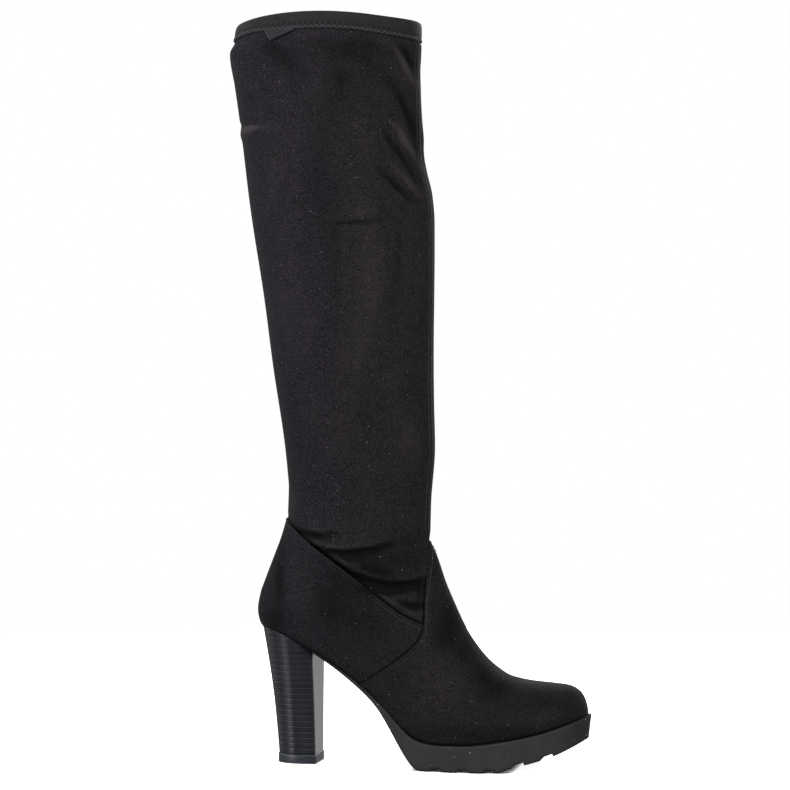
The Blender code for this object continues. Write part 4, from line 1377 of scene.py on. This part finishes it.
BAND_TURNS = 300              # steps of the band round each side of the leg
BAND_TALLER = 1.8             # the band is taller at the sides, and more so in front
BAND_TALLER_TURN = (0.75, 1.3)
BAND_FRONT_TALLER = 1.6
BAND_FRONT_TURN = (1.9, 3.0)
BAND_STRETCH_DROPS = (2.4, 7.0)
BAND_HOLES = 6.9              # drops of the needle holes and of the two lines of the cover stitch
BAND_ROW_HIGH = 7.8
BAND_ROW_LOW = 9.9
COVER_PITCH = 3.9
HOLE_DEPTH = 0.4
HOLE_HALF = 1.05
BAND_OUTER = 1.0              # only points further out than this are dimpled
FORM_STEP = 1.0               # between the neighbours that give the form's normals
# Section of the band: drop below its top, and how far out from the shaft's face
BAND_SECTION = table(
    "drop out",
    (10.40, 0.30),
    (10.42, 0.75),
    (10.25, 1.08),
    (9.90, 1.22),
    (9.40, 1.26),
    (8.80, 1.26),
    (8.20, 1.25),
    (7.60, 1.25),
    (7.00, 1.30),
    (6.20, 1.36),
    (5.20, 1.40),
    (4.20, 1.40),
    (3.20, 1.36),
    (2.20, 1.26),
    (1.40, 1.10),
    (0.70, 0.80),
    (0.25, 0.40),
    (0.05, -0.10),
    (0.00, -0.60),
    (0.05, -1.10),
    (0.25, -1.60),
    (0.70, -2.00),
    (1.60, -2.30),
    (4.00, -2.40),
    (8.00, -2.40),
    (10.10, -2.38),
    (10.40, -2.15),
    (10.42, -1.80),
    (10.30, -1.52),
    (8.00, -1.50),
    (2.40, -1.50),
    (1.50, -1.20),
    (1.10, -0.60),
    (1.50, 0.00),
    (2.40, 0.28),
    (8.00, 0.30),
)


def collar_form(drop):
    """Ring of the leg's form at a drop below the top line, with its normals."""
    turn = np.linspace(0.0, math.pi, BAND_TURNS)
    taller = BAND_TALLER * ease(turn, *BAND_TALLER_TURN) + BAND_FRONT_TALLER * ease(turn, *BAND_FRONT_TURN)
    rows = []
    for at in (drop + FORM_STEP, drop, drop - FORM_STEP):
        z = collar_z(turn) - at - taller * ease(at, *BAND_STRETCH_DROPS)
        back = back_x(z)
        x = back + (front_x(z) - back) * (1 - np.cos(turn)) / 2
        lateral, medial = both_sides(np.stack((x, z), axis=-1))
        rows.append(np.concatenate((lateral, medial[-2:0:-1])))
    rows = np.array(rows)
    normal = outward(rows, closed=True)[1]
    normal[:, 2] = 0.0
    return rows[1], normal / np.linalg.norm(normal, axis=-1, keepdims=True)


def band_solid():
    """Folded band as closed rings, dimpled at the needle holes, and how deep each point is in a hole."""
    rings, holes = [], []
    for drop, out in zip(BAND_SECTION["drop"], BAND_SECTION["out"]):
        ring, normal = collar_form(drop)
        along = run_length(np.concatenate((ring, ring[:1]))[None], axis=1)[0]
        pitch = along[-1] / round(along[-1] / COVER_PITCH)
        from_hole = (along[:-1] + pitch / 2) % pitch - pitch / 2
        dimple = np.zeros(len(ring))
        if out > BAND_OUTER:
            reach = np.hypot(from_hole, drop - BAND_HOLES)
            dimple = HOLE_DEPTH * np.exp(-((reach / HOLE_HALF) ** 2))
        rings.append(ring + normal * (out - dimple)[:, None])
        holes.append(dimple / HOLE_DEPTH)
    rings = np.array(rings)
    index = np.arange(rings[..., 0].size).reshape(rings.shape[:2])
    index = np.vstack((index, index[:1]))
    return rings.reshape(-1, 3), grid_quads(index, closed=True).tolist(), np.concatenate(holes)


def elastic_finish(name, dark, light):
    """Knitted elastic between two tones, with fine ribs, and the needle holes painted near-black as painted
    shade.
    """
    elastic = Finish(name, Roughness=0.82, Specular_IOR_Level=0.25, Sheen_Weight=0.12, Sheen_Roughness=0.4)
    rib = elastic.noise(0.55, detail=2.0, stretch=(2.0, 2.0, 0.8))
    cloud = elastic.noise(14.0, detail=2.0)
    hole = elastic.node("Attribute", {"attribute_name": "hole"}, output=2)
    shade = elastic.mix(elastic.between(cloud, 0.3, 0.7), dark, light)
    shade = elastic.mix(elastic.between(rib, 0.4, 0.75) * 0.6, shade, tone(40, 37, 43))
    elastic.show(
        # The needle holes are painted near-black: painted shade in the shallow dimples of the holes.
        Base_Color=elastic.mix(elastic.between(hole, 0.15, 0.5), shade, tone(3, 3, 3)),
        Normal=elastic.bump(rib, 0.12),
    )
    return elastic


band_elastic = elastic_finish("band_elastic", tone(10, 8, 12), tone(13, 11, 15))
points, faces, holes = band_solid()
band = add_piece("elastic_band", points, faces, [band_elastic], hole=holes)
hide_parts("top_band")

# Tape end
# The end of the elastic tape, cut on a slant and left hanging out below the band near the back of
# the outer side. The cover stitch catches it at the top, and its free end stands off the suede.

TAPE_TOP = ((12.8, 512.0), (38.0, 512.0))
TAPE_FOOT = ((19.4, 501.8), (36.4, 508.6))
TAPE_WALL = 0.5
TAPE_LIFT = 0.25
TAPE_FLARE = 1.4              # how much further off its free end stands
TAPE_ROUND = 0.4
TAPE_STEPS = 16


def tape_solid():
    """Small slanted flap on the leg's form."""
    across = np.linspace(0.0, 1.0, TAPE_STEPS)[None, :, None]
    up = np.linspace(0.0, 1.0, TAPE_STEPS)[:, None, None]
    foot = np.array(TAPE_FOOT[0]) * (1 - across) + np.array(TAPE_FOOT[1]) * across
    top = np.array(TAPE_TOP[0]) * (1 - across) + np.array(TAPE_TOP[1]) * across
    sheet = both_sides(foot * (1 - up) + top * up)[0]
    normal = outward(sheet)
    along = run_length(sheet, axis=1)
    away = np.minimum(np.minimum(along, along[:, -1:] - along), run_length(sheet, axis=0))
    lift = TAPE_LIFT + TAPE_FLARE * (1 - up)
    outer = sheet + normal * (lift + TAPE_WALL - rolled(away, TAPE_ROUND)[..., None])
    inner = sheet + normal * lift
    index = np.arange(TAPE_STEPS**2).reshape(TAPE_STEPS, TAPE_STEPS)
    return wall(outer.reshape(-1, 3), inner.reshape(-1, 3), grid_quads(index, closed=False))[:2]


# The tape's elastic is a lighter copy of the band's: painted light, for its free end catching the light.
lit_tape_elastic = elastic_finish("lit_tape_elastic", tone(24, 22, 27), tone(30, 27, 33))
tape = add_piece("tape_end", *tape_solid(), [lit_tape_elastic])

# Stitching
# Black polyester thread, a little shinier than the suede. Each stitch lies along the surface and
# dives into it at both ends: single rows hold the edges, two rows the shin seam, a zigzag the band.

STITCH_PITCH = 2.0
STITCH_LENGTH = 1.45
THREAD = 0.25                 # radius of the thread
THREAD_ARCH = 1.5             # rise of a stitch in its middle, in radii
THREAD_SUNK = 0.9             # and how deep its ends lie
THREAD_END = 0.55             # share of its thickness there
STITCH_STEPS = 7
THREAD_SIDES = 6
ROW_STEP = 0.002              # between neighbours of a row, as a share of the sheet
QUARTER_ROW_ALONG = np.linspace(0.012, 0.985, 160)
VAMP_ROW_LEVELS = np.linspace(0.012, 0.975, 200)
SHIN_ROWS = (6.0, 10.3)       # round from the front line to each row of the seam
SHIN_ROW_HEIGHTS = np.linspace(164.0, 505.0, 240)
SHIN_PALE = 0.5               # their thread is painted this pale where it is lit
THREAD_LIT_FROM_X = (74.0, 98.0)    # thread is painted paler, a painted highlight, in front of these and above these, out of the seam's shade
THREAD_LIT_FROM_Z = (170.0, 200.0)
THREAD_LIT_ABOVE = (80.0, 96.0)     # and left dark, a painted shade, below these, down the seam of the vamp
COVER_SHARE = 0.34            # share of its pitch that each slanted leg of the zigzag takes
COVER_HIGH_OUT = 1.05         # how far out from the shaft's face its two lines lie
COVER_LOW_OUT = 1.25


def thread_pieces(starts, ends, ups):
    """Separate stitches from starts to ends, raised in the middle and sunk at the ends."""
    share = np.linspace(0.0, 1.0, STITCH_STEPS)
    arch = np.sin(math.pi * share)
    ahead = ends - starts
    ahead = ahead / np.linalg.norm(ahead, axis=-1, keepdims=True)
    across = np.cross(ups, ahead)
    centre = starts[:, None] + (ends - starts)[:, None] * share[:, None]
    centre = centre + ups[:, None] * (THREAD * (THREAD_ARCH * arch - THREAD_SUNK))[:, None]
    turn = np.linspace(0.0, 2 * math.pi, THREAD_SIDES, endpoint=False)
    round_it = np.cos(turn)[:, None] * across[:, None] + np.sin(turn)[:, None] * ups[:, None]
    thick = THREAD * (THREAD_END + (1 - THREAD_END) * arch)
    points = centre[:, :, None] + thick[:, None, None] * round_it[:, None]
    single = np.arange(STITCH_STEPS * THREAD_SIDES).reshape(STITCH_STEPS, THREAD_SIDES)
    sides = grid_quads(single, closed=True)
    firsts = np.arange(len(starts)) * single.size
    faces = (firsts[:, None, None] + sides).reshape(-1, 4).tolist()
    faces += (firsts[:, None] + single[0, ::-1]).tolist()
    faces += (firsts[:, None] + single[-1]).tolist()
    return points.reshape(-1, 3), faces


def row_stitches(path, normal):
    """Ends and upward directions of the stitches of a row along a path on a surface."""
    away = run_length(path[None], axis=1)[0]
    count = int(away[-1] // STITCH_PITCH)
    middle = (np.arange(count) + 0.5) * away[-1] / count

    def on(values, at):
        return np.stack([np.interp(at, away, values[:, axis]) for axis in range(3)], axis=-1)

    up = on(normal, middle)
    up = up / np.linalg.norm(up, axis=-1, keepdims=True)
    return on(path, middle - STITCH_LENGTH / 2), on(path, middle + STITCH_LENGTH / 2), up


def add_stitching(name, rows, pale=1.0):
    """One piece from several rows of stitches, whose thread is painted this pale where it is lit."""
    starts, ends, ups = (np.concatenate(parts) for parts in zip(*rows))
    points, faces = thread_pieces(starts, ends, ups)
    x, z = points[:, 0], points[:, 2]
    worn = pale * np.maximum(ease(x, *THREAD_LIT_FROM_X) * ease(z, *THREAD_LIT_ABOVE), ease(z, *THREAD_LIT_FROM_Z))
    piece = add_piece(name, points, faces, [thread], worn=worn)


def surface_rows(sheet_points, out):
    """Middle row of a three-row side-view strip, on both sides of the boot, raised by a distance."""
    rows = []
    for grid, facing in zip(both_sides(sheet_points), (1.0, -1.0)):
        normal = outward(grid)[1] * facing
        rows.append(row_stitches(grid[1] + normal * np.reshape(out, (-1, 1)), normal))
    return rows


thread = Finish("stitch_thread", Specular_IOR_Level=0.4)
ply = thread.noise(0.5)
worn = thread.node("Attribute", {"attribute_name": "worn"}, output=2)
# Thread painted pale where lit, a painted highlight, and dark in the seams, a painted shade
pale = thread.mix(ply, tone(30, 28, 30), tone(70, 67, 70))
thread.show(
    Base_Color=thread.mix(worn, tone(20, 18, 22), pale),
    Roughness=0.5 + 0.15 * ply,
)

beside_row = ROW_STEP * np.array([[-1.0], [0.0], [1.0]])
edge_pair = np.array([[SIDE_LEVEL], [SIDE_LEVEL - ROW_STEP]])
edge_rows = both_sides(quarter_points(edge_pair, QUARTER_ROW_ALONG[None]))[0]
level_of_row = SIDE_LEVEL - ROW_STEP * QUARTER_ROW / np.linalg.norm(edge_rows[1] - edge_rows[0], axis=-1)
strip = quarter_points(level_of_row + beside_row, QUARTER_ROW_ALONG[None])
quarter_rows = surface_rows(strip, GAP + QUARTER_WALL - ROW_DEPTH)
add_stitching("quarter_stitching", quarter_rows)

share_of_row = stitch_distance(VAMP_ROW_LEVELS) / vamp_rate(VAMP_ROW_LEVELS)
strip = vamp_points(VAMP_ROW_LEVELS[None], share_of_row - beside_row)
vamp_rows = surface_rows(strip, GAP + VAMP_WALL - ROW_DEPTH)
add_stitching("vamp_stitching", vamp_rows)

shin_rows = []
for round_by in SHIN_ROWS:
    path = shin_line(round_by, SHIN_ROW_HEIGHTS)
    beside = shin_line(round_by + FORM_STEP, SHIN_ROW_HEIGHTS)
    normal = np.cross(np.gradient(path, axis=0), beside - path)
    normal = normal / np.linalg.norm(normal, axis=-1, keepdims=True)
    relief = leg_relief(path[:, 0], path[:, 2], np.zeros(len(path), bool))[0] + SHIN_SEAM_RISE
    shin_rows.append(row_stitches(path + normal * relief[:, None], normal))
add_stitching("shin_stitching", shin_rows, pale=SHIN_PALE)

high, high_normal = collar_form(BAND_ROW_HIGH)
low, low_normal = collar_form(BAND_ROW_LOW)


def on_ring(ring, at):
    """Points of a closed ring at shares of the way round."""
    closed = np.concatenate((ring, ring[:1]))
    away = run_length(closed[None], axis=1)[0]
    return np.stack([np.interp(at % 1.0, away / away[-1], closed[:, axis]) for axis in range(3)], axis=-1)


band_round = run_length(np.concatenate((high, high[:1]))[None], axis=1)[0, -1]
holes = np.arange(round(band_round / COVER_PITCH)) / round(band_round / COVER_PITCH)
unit = holes[1]
high_out, low_out = high + COVER_HIGH_OUT * high_normal, low + COVER_LOW_OUT * low_normal
corner_a, corner_b = holes + unit * COVER_SHARE, holes + unit * (1 - COVER_SHARE)
up = on_ring(high_normal, holes)
cover = [
    (on_ring(high_out, holes), on_ring(low_out, corner_a), up),
    (on_ring(low_out, corner_a), on_ring(low_out, corner_b), up),
    (on_ring(low_out, corner_b), on_ring(high_out, holes + unit), up),
]
add_stitching("band_stitching", cover)

# Studio
# A pale floor lit like a light table, in a dim room with a white backdrop behind the boot. Soft lights
# stand on both sides, in front and behind, with small low ones for the heel and the toe. The camera
# stands level, a little towards the toe, at half the height of the boot.

CAMERA_TURN = math.radians(10.5)
CAMERA_AWAY = 2.0
CAMERA_HEIGHT = 0.270
CAMERA_CENTRE = -0.0102       # the middle of the picture, along the boot
FOCAL_PIXELS = 2857
PICTURE = 790
HORIZON = 377.5               # row of the picture at the camera's height
SENSOR = 36.0
FLOOR_RADIUS = 1.1
FLOOR_SIDES = 96
FLOOR_GLOW = 0.85             # the floor is a light table, dark only where the tread all but touches it
CONTACT = 3.5                 # reach of that dark, and how sharply it fades
CONTACT_POWER = 3.0
CONTACT_SAMPLES = 8
ROOM_LIGHT = 0.15             # light of the dim room in front of the boot
BACKDROP_LIGHT = 0.65         # and of the white backdrop behind it
BACKDROP_EDGE = (0.88, 0.96)  # how far back the light comes from where one becomes the other


class Room(Finish):
    """The light all round, from nodes like those of a finish."""

    def __init__(self, name, **constants):
        self.world = bpy.data.worlds.new(name)
        self.world.use_nodes = True
        self.tree = self.world.node_tree
        self.shader = self.tree.nodes["Background"]
        self.show(**constants)


floor_mesh = bpy.data.meshes.new("floor")
rim = np.linspace(0.0, 2 * math.pi, FLOOR_SIDES, endpoint=False)
corners = FLOOR_RADIUS * np.stack((np.cos(rim), np.sin(rim), np.zeros(FLOOR_SIDES)), axis=-1)
floor_mesh.from_pydata(corners.tolist(), [], [list(range(FLOOR_SIDES))])
floor = bpy.data.objects.new("floor", floor_mesh)
bpy.context.scene.collection.objects.link(floor)
paper = Finish(
    "floor_paper",
    Base_Color=tone(248, 248, 248),
    Roughness=0.9,
    Specular_IOR_Level=0.1,
    Emission_Strength=FLOOR_GLOW,
)
clear = paper.node("AmbientOcclusion", {"samples": CONTACT_SAMPLES}, {"Distance": CONTACT * MM}, output=1)
paper.show(Emission_Color=paper.mix(clear.math("POWER", CONTACT_POWER), tone(0, 0, 0), tone(255, 255, 255)))
floor_mesh.materials.append(paper.material)
floor.visible_diffuse = False
floor.visible_glossy = False

room = Room("studio", Color=(1.0, 1.0, 1.0, 1.0))
backwards = room.node("SeparateXYZ", None, {0: room.node("TexCoord")}, output=1)
around = room.node("MapRange", None, {
    "Value": backwards,
    "From Min": BACKDROP_EDGE[0],
    "From Max": BACKDROP_EDGE[1],
    "To Min": ROOM_LIGHT,
    "To Max": BACKDROP_LIGHT,
})
seen = room.node("LightPath")
room.show(Strength=room.node("MapRange", None, {"Value": seen, "To Min": around}))
bpy.context.scene.world = room.world


def add_light(name, place, aim, size, watts):
    """A soft rectangular light at a place, turned to a point of the boot."""
    light = bpy.data.lights.new(name, "AREA")
    light.shape = "RECTANGLE"
    light.size, light.size_y = size
    light.energy = watts
    lamp = bpy.data.objects.new(name, light)
    lamp.location = place
    lamp.rotation_euler = (Vector(aim) - Vector(place)).to_track_quat("-Z", "Y").to_euler()
    bpy.context.scene.collection.objects.link(lamp)


add_light("left_strip", (-1.3, -1.08, 0.16), (-0.08, 0.0, 0.05), (0.12, 0.28), 8.0)
add_light("left_softbox", (-1.4, -0.6, 0.8), (0.0, 0.0, 0.25), (0.5, 1.2), 7.5)
add_light("right_softbox", (1.0, -1.3, 0.9), (0.0, 0.0, 0.35), (0.6, 1.2), 22.0)
add_light("front_softbox", (-0.35, -1.45, 1.35), (0.0, 0.0, 0.25), (1.0, 0.8), 26.0)
add_light("back_softbox", (0.2, 1.45, 0.85), (0.0, 0.0, 0.25), (1.4, 0.6), 24.0)
add_light("rim_softbox", (-1.45, 0.4, 0.45), (0.0, 0.0, 0.2), (1.2, 0.6), 6.0)
add_light("toe_softbox", (1.35, -0.5, 0.3), (0.12, 0.0, 0.03), (0.3, 0.3), 4.5)

camera_data = bpy.data.cameras.new("camera")
camera_data.sensor_width = SENSOR
camera_data.lens = SENSOR * FOCAL_PIXELS / PICTURE
camera_data.shift_y = (HORIZON - PICTURE / 2) / PICTURE
camera = bpy.data.objects.new("camera", camera_data)
camera.location = (
    CAMERA_CENTRE + CAMERA_AWAY * math.sin(CAMERA_TURN),
    -CAMERA_AWAY * math.cos(CAMERA_TURN),
    CAMERA_HEIGHT,
)
camera.rotation_euler = (math.pi / 2, 0.0, CAMERA_TURN)
bpy.context.scene.collection.objects.link(camera)
bpy.context.scene.camera = camera
bpy.context.scene.view_settings.view_transform = "Standard"
